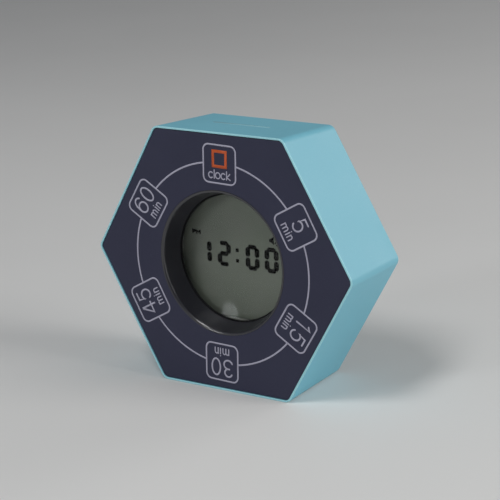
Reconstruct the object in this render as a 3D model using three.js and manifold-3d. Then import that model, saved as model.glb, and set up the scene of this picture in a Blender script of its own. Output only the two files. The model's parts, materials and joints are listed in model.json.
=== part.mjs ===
// Hexagonal flip timer clock: a drafted six-sided case that rests on one of its flats, with a
// round display sunk in the face and two AAA cells, three keys and a sound switch at the back.
// Millimetres. Every piece is placed with the timer lying on its back: X to the right, Y up the
// face, Z from the back wall (0) to the front rim. The last lines stand it on its bottom flat.
import * as THREE from 'three';
import { mergeVertices } from 'three/addons/utils/BufferGeometryUtils.js';
import Module from 'manifold-3d';

// Clearances
const fit = 0.3; // between pieces that seat on each other
const layerGap = 0.2; // between the thin layers of the display, and round turned pieces

// Case
const acrossFlats = 84; // at the front rim
const draft = THREE.MathUtils.degToRad(2.27);
const cornerRadius = 2.8;
const rearEdgeRadius = 1;
const sideWall = 2;
const backWall = 2.2;
const rimWall = 0.6; // thin lip that frames the face
const rimRecess = 0.3; // the face sits this far below the lip

// Face and display
const plateThickness = 2;
const recessDepth = 6.8; // from the face to the foot of the display cone
const windowRadius = 20.5; // what shows of the display, inside the gasket
const gasketShow = 0.5; // width of gasket seen inside the foot of the cone
const gasketWidth = 1.6;
const coneFlare = 1.5; // foot to mouth
const lipRound = 0.8;
const flangeWidth = 4.2;
const flangeThickness = 1.6;
const coneFootWall = 0.4;
const gasketThickness = 0.4;
const lensThickness = 0.8;
const glassThickness = 1.1;
const glassMargin = [1.5, 0.2]; // rear glass past the window, at the sides and at top and bottom
const glassLedge = [1, 3.8]; // front glass past the rear glass
const reflectorThickness = 0.4;
const stripHeight = 4;
const stripThickness = 2;
const stripLength = 42;
const frameBorder = 3.7;
const frameFloor = 2;

// Boards
const boardThickness = 1.2;
const boardOverlap = 1; // main board past the display frame
const earReach = 36;
const earHalfHeight = 9;
const boardScrewPlace = [33, 6];
const boardToBoxGap = 0.8; // free depth between battery box and main board
const keyBoardWidth = 48;
const keyBoardMargin = 6; // past the middle of the keys and of the sound switch
const keyBoardScrewX = 19;
const capacitorSize = [2.5, 4.2]; // radius, height

// Power
const cellDiameter = 10.5;
const cellLength = 44.5;
const cellGap = 0.5;
const nubRadius = 1.9;
const nubHeight = 1;
const powerMiddle = -11; // height of the battery bay on the back
const boxWall = 1.2;
const contactThickness = 0.4;
const springLength = 4.7;
const springWire = 0.35;
const doorThickness = 1.6;
const doorCorner = 2;
const doorLedge = 1.7;
const scoopRadius = 5; // finger dip above the door's latch
const scoopDepth = 1;
const bayMargin = 0.4; // opening past the battery box's inside
const ledgeWidth = 1.75;

// Keys, sound switch and buzzer
const keyPitch = 13;
const keyToSound = 12;
const keyRadius = 3.8;
const keyProud = 0.6;
const keyTravel = 0.5;
const plungerRadius = 1.7;
const knobSize = [3, 2.4];
const knobProud = 0.5;
const knobTravel = 3;
const buzzerRadius = 6;
const buzzerHeight = 6.5;
const buzzerWall = 1.3;

// Screws: thread radius, head radius, head height, cross width
const caseScrew = { thread: 1.4, head: 2.6, headHeight: 1.7, cross: 0.8 };
const smallScrew = { thread: 0.8, head: 1.8, headHeight: 1.2, cross: 0.5 };
const caseScrewLength = 9.5;
const bossRadius = 3.6;
const postRadius = 3.2;
const smallPostRadius = 2.4;

// Radii round the display
const lensRadius = windowRadius + gasketWidth;
const coneFootRadius = windowRadius + gasketShow;
const coneMouthRadius = coneFootRadius + coneFlare;
const lipRadius = coneMouthRadius + lipRound;
const flangeRadius = lipRadius + flangeWidth;
const rearGlass = glassMargin.map((margin) => 2 * (windowRadius + margin));
const frontGlass = rearGlass.map((side, i) => side + 2 * glassLedge[i]);

// Tabs that hook the battery door under the back wall, and the swing of their tips
const tabX = 14;
const tabWidth = 6;
const tabReach = 1.8;
const tabRear = backWall + fit;
const tabFront = tabRear + 0.8;
const tabSwing = Math.hypot(tabReach, tabFront) + 0.1;

// Heights from the back wall up
const ledgeZ = doorThickness + fit;
const bayFrameTop = ledgeZ + doorLedge;
const cellZ = ledgeZ + cellDiameter / 2 + 0.15;
const boxRear = Math.max(bayFrameTop + fit, tabSwing);
const boxFloor = cellZ + cellDiameter / 2 + 0.45;
const boxFront = boxFloor + boxWall;
const plungerRear = backWall + fit + 0.8 + layerGap;
const switchRear = plungerRear + 0.9;
const keyBoardRear = switchRear + 3.4 + layerGap;
const keyBoardFront = keyBoardRear + boardThickness;

// Heights of the display module, which sets the depth of the case
const boardRear = Math.max(boxFront, keyBoardFront + capacitorSize[1] + layerGap) + boardToBoxGap;
const boardFront = boardRear + boardThickness;
const stripRear = boardFront + layerGap;
const frontGlassRear = stripRear + stripHeight + layerGap;
const frontGlassTop = frontGlassRear + glassThickness;
const rearGlassRear = frontGlassRear - layerGap - glassThickness;
const reflectorRear = rearGlassRear - layerGap - reflectorThickness;
const lensRear = frontGlassTop + layerGap;
const gasketRear = lensRear + lensThickness + layerGap;
const coneFootRear = gasketRear + gasketThickness + layerGap;
const coneFoot = coneFootRear + coneFootWall;
const plateFront = coneFoot + recessDepth;
const plateRear = plateFront - plateThickness;
const caseDepth = plateFront + rimRecess;
const flangeFront = plateRear - fit;
const flangeRear = flangeFront - flangeThickness;
const frameRear = boardFront + fit;

const wasm = await Module();
wasm.setup();

const timer = new THREE.Group();
const upright = new THREE.Group();
timer.add(upright);

const finishes = {
  case: { color: 0x8fbbc9, roughness: 0.45, metalness: 0 },
  face: { color: 0x31323e, roughness: 0.55, metalness: 0 },
  gloss: { color: 0x15161c, roughness: 0.15, metalness: 0 },
  black: { color: 0x101010, roughness: 0.6, metalness: 0 },
  clear: { color: 0xdfe6e4, roughness: 0.05, metalness: 0, transparent: true, opacity: 0.3 },
  display: { color: 0x5d6459, roughness: 0.3, metalness: 0 },
  white: { color: 0xe6e6e2, roughness: 0.6, metalness: 0 },
  rubber: { color: 0x3a3a3c, roughness: 0.8, metalness: 0 },
  board: { color: 0x1f6b3c, roughness: 0.5, metalness: 0 },
  steel: { color: 0xb9bcc0, roughness: 0.3, metalness: 1 },
  cell: { color: 0x9aa3a8, roughness: 0.35, metalness: 0.6 },
  key: { color: 0xf0f0ee, roughness: 0.5, metalness: 0 },
  red: { color: 0xb02a22, roughness: 0.5, metalness: 0 },
  grey: { color: 0x8c8f92, roughness: 0.6, metalness: 0 },
};

function addPiece(name, geometry, finish) {
  const mesh = new THREE.Mesh(geometry, new THREE.MeshStandardMaterial(finishes[finish]));
  mesh.name = name;
  upright.add(mesh);
}

// Booleans ------------------------------------------------------------------------------------

function solid(geometry) {
  const bare = geometry.clone();
  bare.deleteAttribute('normal');
  bare.deleteAttribute('uv');
  const merged = mergeVertices(bare, 1e-4);
  return new wasm.Manifold(new wasm.Mesh({
    numProp: 3,
    vertProperties: new Float32Array(merged.attributes.position.array),
    triVerts: new Uint32Array(merged.index.array),
  }));
}

function geometryOf(manifold) {
  const mesh = manifold.getMesh();
  const geometry = new THREE.BufferGeometry();
  geometry.setAttribute('position', new THREE.BufferAttribute(mesh.vertProperties, 3));
  geometry.setIndex(new THREE.BufferAttribute(mesh.triVerts, 1));
  geometry.computeVertexNormals();
  return geometry;
}

function join(geometries) {
  return geometries.map(solid).reduce((whole, next) => whole.add(next));
}

function carve(body, cuts) {
  return geometryOf(join([].concat(body)).subtract(join(cuts)));
}

// Outlines and solids -------------------------------------------------------------------------

function roundedPolygon(corners, radius) {
  const shape = new THREE.Shape();
  const count = corners.length;
  corners.forEach((corner, i) => {
    const before = corners[(i + count - 1) % count];
    const after = corners[(i + 1) % count];
    const inward = before.clone().sub(corner).normalize();
    const outward = after.clone().sub(corner).normalize();
    const half = Math.acos(THREE.MathUtils.clamp(inward.dot(outward), -1, 1)) / 2;
    const reach = radius / Math.tan(half);
    const middle = inward.clone().add(outward).normalize().multiplyScalar(radius / Math.sin(half));
    const centre = corner.clone().add(middle);
    const start = corner.clone().addScaledVector(inward, reach).sub(centre);
    const end = corner.clone().addScaledVector(outward, reach).sub(centre);
    shape.absarc(centre.x, centre.y, radius, start.angle(), end.angle(), inward.cross(outward) > 0);
  });
  return shape;
}

function hexOutline(apothem, radius) {
  const corners = [];
  for (let i = 0; i < 6; i += 1) {
    const angle = (i * Math.PI) / 3;
    const reach = apothem / Math.cos(Math.PI / 6);
    corners.push(new THREE.Vector2(reach * Math.cos(angle), reach * Math.sin(angle)));
  }
  return roundedPolygon(corners, radius);
}

function rectangle(width, height, x = 0, y = 0) {
  const corners = [[-1, -1], [1, -1], [1, 1], [-1, 1]];
  return corners.map(([sx, sy]) => new THREE.Vector2(x + (sx * width) / 2, y + (sy * height) / 2));
}

function slab(shape, rear, front, curveSegments = 4) {
  const options = { depth: front - rear, bevelEnabled: false, curveSegments };
  return new THREE.ExtrudeGeometry(shape, options).translate(0, 0, rear);
}

function block(width, height, rear, front, x = 0, y = 0) {
  return new THREE.BoxGeometry(width, height, front - rear).translate(x, y, (front + rear) / 2);
}

function rod(radius, rear, front, x = 0, y = 0, segments = 12) {
  const geometry = new THREE.CylinderGeometry(radius, radius, front - rear, segments);
  return geometry.rotateX(Math.PI / 2).translate(x, y, (front + rear) / 2);
}

// Turned about Z. Points are [radius, height] and run up the outside first.
function turned(points, segments) {
  const profile = points.map(([radius, height]) => new THREE.Vector2(radius, height));
  return new THREE.LatheGeometry(profile, segments).rotateX(Math.PI / 2);
}

function apothemAt(z) {
  return acrossFlats / 2 - (caseDepth - z) * Math.tan(draft);
}

// A six-sided block whose sides follow the draft of the case, inset from its outer skin.
// Each level is [z, extra inset].
function drafted(inset, radius, levels) {
  const steps = levels.length - 1;
  const base = acrossFlats / 2 - inset;
  const options = { depth: steps, steps, bevelEnabled: false, curveSegments: 4 };
  const geometry = new THREE.ExtrudeGeometry(hexOutline(base, radius), options);
  const place = geometry.attributes.position;
  for (let i = 0; i < place.count; i += 1) {
    const [z, extra] = levels[Math.round(place.getZ(i))];
    const scale = (apothemAt(z) - inset - extra) / base;
    place.setXYZ(i, place.getX(i) * scale, place.getY(i) * scale, z);
  }
  return geometry;
}

function wire(points, radius, steps, sides = 8) {
  const path = new THREE.CatmullRomCurve3(points.map((point) => new THREE.Vector3(...point)));
  const section = new THREE.Shape();
  for (let i = 0; i < sides; i += 1) {
    const angle = (i * 2 * Math.PI) / sides;
    const point = [radius * Math.cos(angle), radius * Math.sin(angle)];
    if (i === 0) section.moveTo(...point);
    else section.lineTo(...point);
  }
  return new THREE.ExtrudeGeometry(section, { steps, extrudePath: path, bevelEnabled: false });
}

function mirrored(place) {
  const [x, y] = place;
  return [[x, y], [-x, y], [-x, -y], [x, -y]];
}

// Places shared by more than one piece --------------------------------------------------------

const bossReach = (apothemAt(0) - sideWall - bossRadius - 0.55) / Math.cos(Math.PI / 6);
const casePosts = mirrored([bossReach / 2, (bossReach * Math.sqrt(3)) / 2]);
const boardPosts = mirrored(boardScrewPlace);
const keyXs = [-keyPitch, 0, keyPitch];

const caseHeadSeat = 10.5;
const bossFront = caseHeadSeat + 2;
const postRear = bossFront + fit;

const contactX = cellLength / 2 + springLength / 2 + fit;
const cellPitch = cellDiameter + cellGap;
const boxInside = [2 * (contactX + contactThickness + fit), cellPitch + cellDiameter + 0.7];
const boxOutside = [boxInside[0] + 2 * boxWall, boxInside[1] + 2 * boxWall];
const bay = [boxInside[0] + 2 * bayMargin, boxInside[1] + 2 * bayMargin];
const doorHole = [bay[0] + 2 * (ledgeWidth + fit), bay[1] + 2 * (ledgeWidth + fit)];
const door = [doorHole[0] - 2 * fit, doorHole[1] - 2 * fit];
const bayFrame = [doorHole[0] + 2.4, doorHole[1] + 2.4];

// The back is laid out from the battery bay: the buzzer below it, sound switch and keys above
const buzzerPlace = powerMiddle - boxOutside[1] / 2 - 0.9 - buzzerRadius - buzzerWall;
const doorBottom = powerMiddle - door[1] / 2;
const doorTop = powerMiddle + door[1] / 2;
const soundRow = doorTop + scoopRadius + 4.7;
const keyRow = soundRow + keyToSound;
const keyBoardMiddle = (soundRow + keyRow) / 2;
const keyBoardSize = [keyBoardWidth, keyToSound + 2 * keyBoardMargin];
const keyBoardPosts = [[-keyBoardScrewX, keyBoardMiddle], [keyBoardScrewX, keyBoardMiddle]];
const earX = boxOutside[0] / 2 + 2.8;
const boxScrewPlaces = [[-earX, powerMiddle], [earX, powerMiddle]];
const earFront = boxRear + 1.5;
const knobSlot = [knobSize[0] + knobTravel + 0.8, knobSize[1] + 0.8];

// Case ----------------------------------------------------------------------------------------

function makeShell() {
  const outsideLevels = [];
  for (let i = 0; i <= 3; i += 1) {
    const angle = (i * Math.PI) / 6;
    const height = rearEdgeRadius * (1 - Math.cos(angle));
    outsideLevels.push([height, rearEdgeRadius * (1 - Math.sin(angle))]);
  }
  outsideLevels.push([caseDepth, 0]);

  const rebateRear = plateRear - fit;
  const shellSkin = join([drafted(0, cornerRadius, outsideLevels)])
    .subtract(join([drafted(sideWall, 1.4, [[backWall, 0], [rebateRear + 0.1, 0]])]))
    .subtract(join([drafted(rimWall, cornerRadius - rimWall, [[rebateRear, 0], [caseDepth + 1, 0]])]));

  const inside = backWall - 0.5;
  const bayShape = roundedPolygon(rectangle(...bayFrame, 0, powerMiddle), doorCorner);
  const added = [
    ...casePosts.map(([x, y]) => rod(bossRadius, inside, bossFront, x, y)),
    ...keyBoardPosts.map(([x, y]) => rod(smallPostRadius, inside, keyBoardRear - fit, x, y)),
    ...boxScrewPlaces.map(([x, y]) => rod(2.2, inside, bayFrameTop, x, y)),
    slab(bayShape, inside, bayFrameTop),
    rod(buzzerRadius + buzzerWall, inside, backWall + 3.3, 0, buzzerPlace, 24),
  ];

  const cuts = [
    slab(roundedPolygon(rectangle(...bay, 0, powerMiddle), 1), -1, bayFrameTop + 1),
    slab(roundedPolygon(rectangle(...doorHole, 0, powerMiddle), doorCorner + fit), -1, ledgeZ),
    rod(buzzerRadius + fit, backWall, backWall + 5, 0, buzzerPlace, 24),
    rod(scoopRadius, -1, scoopDepth, 0, doorTop + 0.5, 20),
    block(...knobSlot, -1, backWall + 1, 0, soundRow),
    slab(roundedPolygon(rectangle(knobSlot[0] + 5, knobSlot[1] + 4, 0, soundRow), 1.5), -1, 0.7),
    ...keyXs.map((x) => rod(keyRadius + layerGap, -1, backWall + 1, x, keyRow, 24)),
  ];
  casePosts.forEach(([x, y]) => {
    cuts.push(rod(caseScrew.head + fit, -1, caseHeadSeat, x, y));
    cuts.push(rod(caseScrew.thread + layerGap, -1, bossFront + 1, x, y));
  });
  keyBoardPosts.forEach(([x, y]) => {
    cuts.push(rod(smallScrew.thread + layerGap, backWall, keyBoardRear, x, y, 12));
  });
  boxScrewPlaces.forEach(([x, y]) => {
    cuts.push(rod(smallScrew.thread + layerGap, 0.9, boxRear, x, y, 12));
  });
  for (let i = 0; i < 7; i += 1) {
    const reach = i === 0 ? 0 : 2.6;
    const angle = (i * Math.PI) / 3;
    const place = [reach * Math.cos(angle), buzzerPlace + reach * Math.sin(angle)];
    cuts.push(rod(0.6, -1, backWall + 1, ...place, 10));
  }
  [-tabX, tabX].forEach((x) => {
    const top = powerMiddle - bay[1] / 2 + 0.2;
    const bottom = doorBottom - fit;
    const below = bottom - tabReach - 1;
    const width = tabWidth + 2 * fit;
    cuts.push(block(width, top - below, backWall, bayFrameTop + 1, x, (top + below) / 2));
    cuts.push(block(width, top - bottom, ledgeZ - 0.2, backWall + 0.1, x, (top + bottom) / 2));
  });
  const shell = shellSkin.add(join(added)).subtract(join(cuts));
  addPiece('shell', geometryOf(shell), 'case');
}

function makeFrontPlate() {
  const radius = cornerRadius - rimWall - fit;
  const plate = drafted(rimWall + fit, radius, [[plateRear, 0], [plateFront, 0]]);
  const posts = [
    ...casePosts.map(([x, y]) => rod(postRadius, postRear, plateRear + 0.5, x, y)),
    ...boardPosts.map(([x, y]) => rod(smallPostRadius, boardFront + fit, plateRear + 0.5, x, y)),
  ];
  const hole = rod(lipRadius + layerGap, plateRear - 1, plateFront + 1, 0, 0, 48);
  const bores = [
    ...casePosts.map(([x, y]) => rod(caseScrew.thread + layerGap, postRear - 1, postRear + 8.5, x, y)),
    ...boardPosts.map(([x, y]) => rod(smallScrew.thread + layerGap, boardFront, boardFront + 7, x, y, 12)),
  ];
  addPiece('front_plate', carve([plate, ...posts], [hole, ...bores]), 'face');
}

// Display -------------------------------------------------------------------------------------

function makeDisplay() {
  const footOutside = lensRadius + layerGap + 1;
  const lip = [];
  for (let i = 0; i <= 3; i += 1) {
    const angle = (i * Math.PI) / 6;
    const radius = lipRadius - lipRound * Math.sin(angle);
    lip.push([radius, plateFront - lipRound * (1 - Math.cos(angle))]);
  }
  const ring = [
    [coneFootRadius, coneFootRear],
    [lensRadius + layerGap, coneFootRear],
    [lensRadius + layerGap, lensRear],
    [footOutside, lensRear],
    [footOutside + 1.3, flangeRear],
    [flangeRadius, flangeRear],
    [flangeRadius, flangeFront],
    [lipRadius, flangeFront],
    ...lip,
    [coneFootRadius, coneFoot],
    [coneFootRadius, coneFootRear],
  ];
  addPiece('bezel_ring', turned(ring, 48), 'gloss');

  const gasketFront = gasketRear + gasketThickness;
  const gasket = [
    [windowRadius, gasketRear],
    [lensRadius, gasketRear],
    [lensRadius, gasketFront],
    [windowRadius, gasketFront],
    [windowRadius, gasketRear],
  ];
  addPiece('lens_gasket', turned(gasket, 48), 'black');
  addPiece('lens', rod(lensRadius, lensRear, lensRear + lensThickness, 0, 0, 48), 'clear');
  addPiece('lcd_front_glass', block(...frontGlass, frontGlassRear, frontGlassTop), 'display');
  addPiece('lcd_rear_glass', block(...rearGlass, rearGlassRear, rearGlassRear + glassThickness), 'display');
  const reflector = rearGlass.map((side) => side - 0.4);
  const reflectorFront = reflectorRear + reflectorThickness;
  addPiece('lcd_reflector', block(...reflector, reflectorRear, reflectorFront), 'white');

  const stripY = rearGlass[1] / 2 + stripThickness / 2 + 1.2;
  [['zebra_strip_top', stripY], ['zebra_strip_bottom', -stripY]].forEach(([name, y]) => {
    addPiece(name, block(stripLength, stripThickness, stripRear, stripRear + stripHeight, 0, y), 'rubber');
  });

  const pocket = frontGlass.map((side) => side + 2 * fit);
  const window = rearGlass.map((side) => side + 2 * fit);
  const outside = pocket.map((side) => side + 2 * frameBorder);
  const floorZ = reflectorRear - layerGap;
  const slot = [stripLength + 2 * layerGap, stripThickness + 2 * layerGap];
  const cuts = [
    block(...pocket, frontGlassRear - 0.1, frontGlassTop + 1),
    block(...window, floorZ, frontGlassTop),
    block(window[0] - 8, window[1] - 8, frameRear - 1, floorZ + 0.5),
    block(...slot, frameRear - 1, frontGlassTop, 0, stripY),
    block(...slot, frameRear - 1, frontGlassTop, 0, -stripY),
  ];
  const frame = slab(roundedPolygon(rectangle(...outside), 1.2), frameRear, frontGlassTop);
  addPiece('display_frame', carve(frame, cuts), 'white');
  return outside;
}

// Boards --------------------------------------------------------------------------------------

function makeMainBoard(frameOutside) {
  const half = frameOutside.map((side) => side / 2 + boardOverlap);
  const clip = 2;
  const outline = [
    [-half[0] + clip, -half[1]], [half[0] - clip, -half[1]], [half[0], -half[1] + clip],
    [half[0], -earHalfHeight], [earReach, -earHalfHeight], [earReach, earHalfHeight],
    [half[0], earHalfHeight], [half[0], half[1] - clip], [half[0] - clip, half[1]],
    [-half[0] + clip, half[1]], [-half[0], half[1] - clip], [-half[0], earHalfHeight],
    [-earReach, earHalfHeight], [-earReach, -earHalfHeight], [-half[0], -earHalfHeight],
    [-half[0], -half[1] + clip],
  ];
  const shape = new THREE.Shape(outline.map(([x, y]) => new THREE.Vector2(x, y)));
  const holes = boardPosts.map(([x, y]) => rod(smallScrew.thread + layerGap, 0, 40, x, y, 12));
  addPiece('main_board', carve(slab(shape, boardRear, boardFront), holes), 'board');

  const seat = boardRear - layerGap;
  const top = half[1];
  const blob = [[0, seat - 1.6], [2.5, seat - 1.4], [4.4, seat - 0.7], [5, seat], [0, seat]];
  addPiece('controller_chip', turned(blob, 20).translate(-12, top - 14, 0), 'black');
  addPiece('tilt_sensor', block(5, 5, seat - 1.6, seat, 0, top - 8), 'black');
  const [canRadius, canHeight] = capacitorSize;
  addPiece('capacitor', rod(canRadius, seat - canHeight, seat, 11, top - 6), 'steel');
  const can = new THREE.CapsuleGeometry(1, 5, 3, 12).rotateZ(Math.PI / 2);
  addPiece('crystal_can', can.translate(6, top - 20, seat - 1), 'steel');
  return -half[1];
}

function makeKeyBoard() {
  const board = block(...keyBoardSize, keyBoardRear, keyBoardFront, 0, keyBoardMiddle);
  const holes = keyBoardPosts.map(([x, y]) => rod(smallScrew.thread + layerGap, 0, 40, x, y, 12));
  addPiece('key_board', carve(board, holes), 'board');

  const seat = keyBoardRear - layerGap;
  const names = ['set', 'up', 'down'];
  keyXs.forEach((x, i) => {
    const bore = rod(plungerRadius + layerGap, switchRear - 1, switchRear + 2.2, x, keyRow);
    const housing = block(6, 6, switchRear, seat, x, keyRow);
    addPiece(`${names[i]}_switch`, carve(housing, [bore]), 'black');
    const plungerFront = switchRear + 2.2 - layerGap - keyTravel;
    addPiece(`${names[i]}_plunger`, rod(plungerRadius, plungerRear, plungerFront, x, keyRow), 'black');
    const flangeRearZ = backWall + fit;
    const cap = [
      [0, -keyProud + 0.25],
      [keyRadius * 0.6, -keyProud + 0.12],
      [keyRadius - 0.5, -keyProud],
      [keyRadius, -keyProud + 0.5],
      [keyRadius, flangeRearZ],
      [keyRadius + 1, flangeRearZ],
      [keyRadius + 1, flangeRearZ + 0.8],
      [0, flangeRearZ + 0.8],
    ];
    addPiece(`${names[i]}_button`, turned(cap, 24).translate(x, keyRow, 0), 'key');
  });

  const bodyRear = seat - 3.5;
  const knobFront = bodyRear + 2;
  const knobX = -knobTravel / 2;
  const body = block(knobSlot[0] + 3.4, 5.2, bodyRear, seat, 0, soundRow);
  const slot = block(knobSlot[0] - 0.2, knobSlot[1] - 0.2, bodyRear - 1, knobFront + fit, 0, soundRow);
  addPiece('sound_switch_body', carve(body, [slot]), 'steel');
  const knob = block(...knobSize, -knobProud, knobFront, knobX, soundRow);
  const grooves = [-0.8, 0, 0.8].map((x) => block(0.3, 4, -2, 0.3 - knobProud, knobX + x, soundRow));
  addPiece('sound_switch_knob', carve(knob, grooves), 'black');

  const rear = backWall + fit;
  const soundHole = rod(1, rear - 1, rear + 3, 0, buzzerPlace, 12);
  const can = rod(buzzerRadius, rear, rear + buzzerHeight, 0, buzzerPlace, 24);
  addPiece('buzzer', carve(can, [soundHole]), 'black');
}

// Power ---------------------------------------------------------------------------------------

function makeBatteryBox() {
  const outside = block(...boxOutside, boxRear, boxFront, 0, powerMiddle);
  const ears = boxScrewPlaces.map(([x, y]) => {
    const inner = Math.sign(x) * (boxOutside[0] / 2 - 0.5);
    const outer = x + Math.sign(x) * 2.4;
    return block(Math.abs(outer - inner), 6, boxRear, earFront, (outer + inner) / 2, y);
  });
  const cuts = [
    block(...boxInside, boxRear - 1, boxFloor, 0, powerMiddle),
    ...boxScrewPlaces.map(([x, y]) => rod(smallScrew.thread + layerGap, 0, boxFront, x, y, 12)),
  ];
  [-1, 1].forEach((side) => {
    const y = powerMiddle + (side * cellPitch) / 2;
    cuts.push(block(boxWall + 2, 2.6, cellZ - 1.3, cellZ + 1.3, boxOutside[0] / 2 - boxWall / 2, y));
  });
  addPiece('battery_box', carve([outside, ...ears], cuts), 'black');
}

function makeCell(name, side) {
  const radius = cellDiameter / 2;
  const body = cellLength - nubHeight;
  const profile = [
    [0, 0], [radius - 0.4, 0], [radius, 0.4], [radius, body - 0.5], [radius - 0.5, body],
    [nubRadius, body], [nubRadius, cellLength - 0.2], [nubRadius - 0.2, cellLength], [0, cellLength],
  ];
  const cell = turned(profile, 24).rotateY((side * Math.PI) / 2);
  const nubTip = contactX - fit;
  cell.translate(side * (nubTip - cellLength), powerMiddle + (side * cellPitch) / 2, cellZ);
  addPiece(name, cell, 'cell');
}

// A cone of spring wire that grows out of a contact plate at x and points to the middle.
function contactSpring(side, y) {
  const turns = 4;
  const points = [];
  const length = springLength - springWire;
  for (let i = 0; i <= turns * 8; i += 1) {
    const share = i / (turns * 8);
    const angle = share * turns * 2 * Math.PI;
    const radius = THREE.MathUtils.lerp(3.6, 2.3, share);
    const x = side * (contactX + 0.1 - share * length);
    points.push([x, y + radius * Math.cos(angle), cellZ + radius * Math.sin(angle)]);
  }
  return wire(points, springWire, turns * 10, 6);
}

function contactPlate(side, y, height) {
  const x = side * (contactX + contactThickness / 2);
  return block(contactThickness, height, cellZ - 3.2, cellZ + 4.6, x, y);
}

function makeContacts() {
  const [upper, lower] = [powerMiddle + cellPitch / 2, powerMiddle - cellPitch / 2];
  const plateHeight = 9;
  const tabEnd = boxOutside[0] / 2 + 1.1;
  const tab = (y) => block(tabEnd - contactX, 1.8, cellZ - 0.9, cellZ + 0.9, (tabEnd + contactX) / 2, y);
  const dimple = (side, y) => {
    const bump = new THREE.CylinderGeometry(1.2, 1.5, 0.2, 12).rotateZ((side * Math.PI) / 2);
    return bump.translate(side * (contactX - 0.05), y, cellZ);
  };

  const bridge = join([
    contactPlate(-1, powerMiddle, plateHeight + cellPitch),
    contactSpring(-1, upper),
    dimple(-1, lower),
  ]);
  addPiece('bridge_contact', geometryOf(bridge), 'steel');
  const negative = join([contactPlate(1, lower, plateHeight), contactSpring(1, lower), tab(lower)]);
  addPiece('negative_contact', geometryOf(negative), 'steel');
  const positive = join([contactPlate(1, upper, plateHeight), dimple(1, upper), tab(upper)]);
  addPiece('positive_contact', geometryOf(positive), 'steel');
  return { tabEnd, upper, lower };
}

function makeDoor() {
  const plate = slab(roundedPolygon(rectangle(...door, 0, powerMiddle), doorCorner), 0, doorThickness);
  const tabs = [-tabX, tabX].flatMap((x) => [
    block(tabWidth, 1.1, doorThickness - 0.5, tabFront, x, doorBottom + 0.85),
    block(tabWidth, tabReach + 0.8, tabRear, tabFront, x, doorBottom - tabReach / 2 + 0.4),
  ]);
  const latchWidth = 11;
  const latchDepth = 6;
  const slit = 0.6;
  const cuts = [-1, 1].map((side) => {
    const x = side * (latchWidth / 2);
    return block(slit, latchDepth + 1, -1, doorThickness + 1, x, doorTop - latchDepth / 2 + 0.5);
  });
  for (let i = 0; i < 3; i += 1) {
    cuts.push(block(latchWidth - 4, 0.5, -1, 0.35, 0, doorTop - 1.6 - i * 1.2));
  }
  addPiece('battery_door', carve([plate, ...tabs], cuts), 'case');
}

// Wiring --------------------------------------------------------------------------------------

function makeWiring({ tabEnd, upper, lower }, boardBottom) {
  const start = tabEnd + 0.9;
  const seat = boardRear - 0.6; // leads stop just short of their solder pads
  const side = boxOutside[0] / 2 + 2.9;
  addPiece('positive_lead', wire([
    [start, upper, cellZ], [side, upper + 0.6, cellZ + 2], [side, -0.5, seat - 2.5],
    [side, 1.8, seat],
  ], 0.55, 12), 'red');
  addPiece('negative_lead', wire([
    [start, lower, cellZ], [side, lower + 0.6, cellZ + 2], [side, -9.5, seat - 2.5],
    [side, 1.4 - earHalfHeight, seat],
  ], 0.55, 14), 'black');

  [['buzzer_lead_left', -2.5], ['buzzer_lead_right', 2.5]].forEach(([name, x]) => {
    const top = backWall + fit + buzzerHeight;
    addPiece(name, wire([
      [x, buzzerPlace, top + 0.4], [x, buzzerPlace + 0.3, top + 2],
      [x, boardBottom + 0.4, seat - 1.6], [x, boardBottom + 2.2, seat - 0.1],
    ], 0.45, 10), x < 0 ? 'red' : 'black');
  });

  const ribbonWidth = 9;
  const ribbonHalf = 0.45;
  const low = keyBoardFront + layerGap;
  const high = boardRear - layerGap;
  const middle = (low + high) / 2;
  const foot = keyBoardMiddle - keyBoardSize[1] / 2 + 1.5;
  const path = [
    [foot, low], [foot - 0.1, low + 1], [foot - 1.9, middle], [foot - 3.9, high - 1], [foot - 4, high],
  ];
  const curve = new THREE.SplineCurve(path.map(([y, z]) => new THREE.Vector2(y, z)));
  const right = [];
  const left = [];
  for (let i = 0; i <= 10; i += 1) {
    const point = curve.getPoint(i / 10);
    const along = curve.getTangent(i / 10);
    if (i === 0 || i === 10) along.set(0, 1);
    right.push(new THREE.Vector2(point.x + along.y * ribbonHalf, point.y - along.x * ribbonHalf));
    left.unshift(new THREE.Vector2(point.x - along.y * ribbonHalf, point.y + along.x * ribbonHalf));
  }
  const section = new THREE.Shape([...right, ...left]);
  const ribbon = slab(section, -ribbonWidth / 2, ribbonWidth / 2);
  // The section was drawn in Y and Z: turn it so that its width runs along X.
  ribbon.applyMatrix4(new THREE.Matrix4().set(0, 0, 1, -14, 1, 0, 0, 0, 0, 1, 0, 0, 0, 0, 0, 1));
  addPiece('ribbon_cable', ribbon, 'grey');
}

// Screws --------------------------------------------------------------------------------------

// Head at the back, tip towards the face; headFront is the underside of the head.
function screw(kind, length, headFront) {
  const { thread, head, headHeight, cross } = kind;
  const top = headFront - headHeight;
  const profile = [
    [0, top], [head * 0.7, top + 0.1], [head, top + headHeight * 0.5], [head, headFront],
    [thread, headFront], [thread, headFront + length - thread], [0.3, headFront + length],
    [0, headFront + length],
  ];
  const reach = head * 1.2;
  const depth = top + headHeight * 0.55;
  const cuts = [block(cross, reach, top - 1, depth), block(reach, cross, top - 1, depth)];
  return carve(turned(profile, 12), cuts);
}

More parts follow.
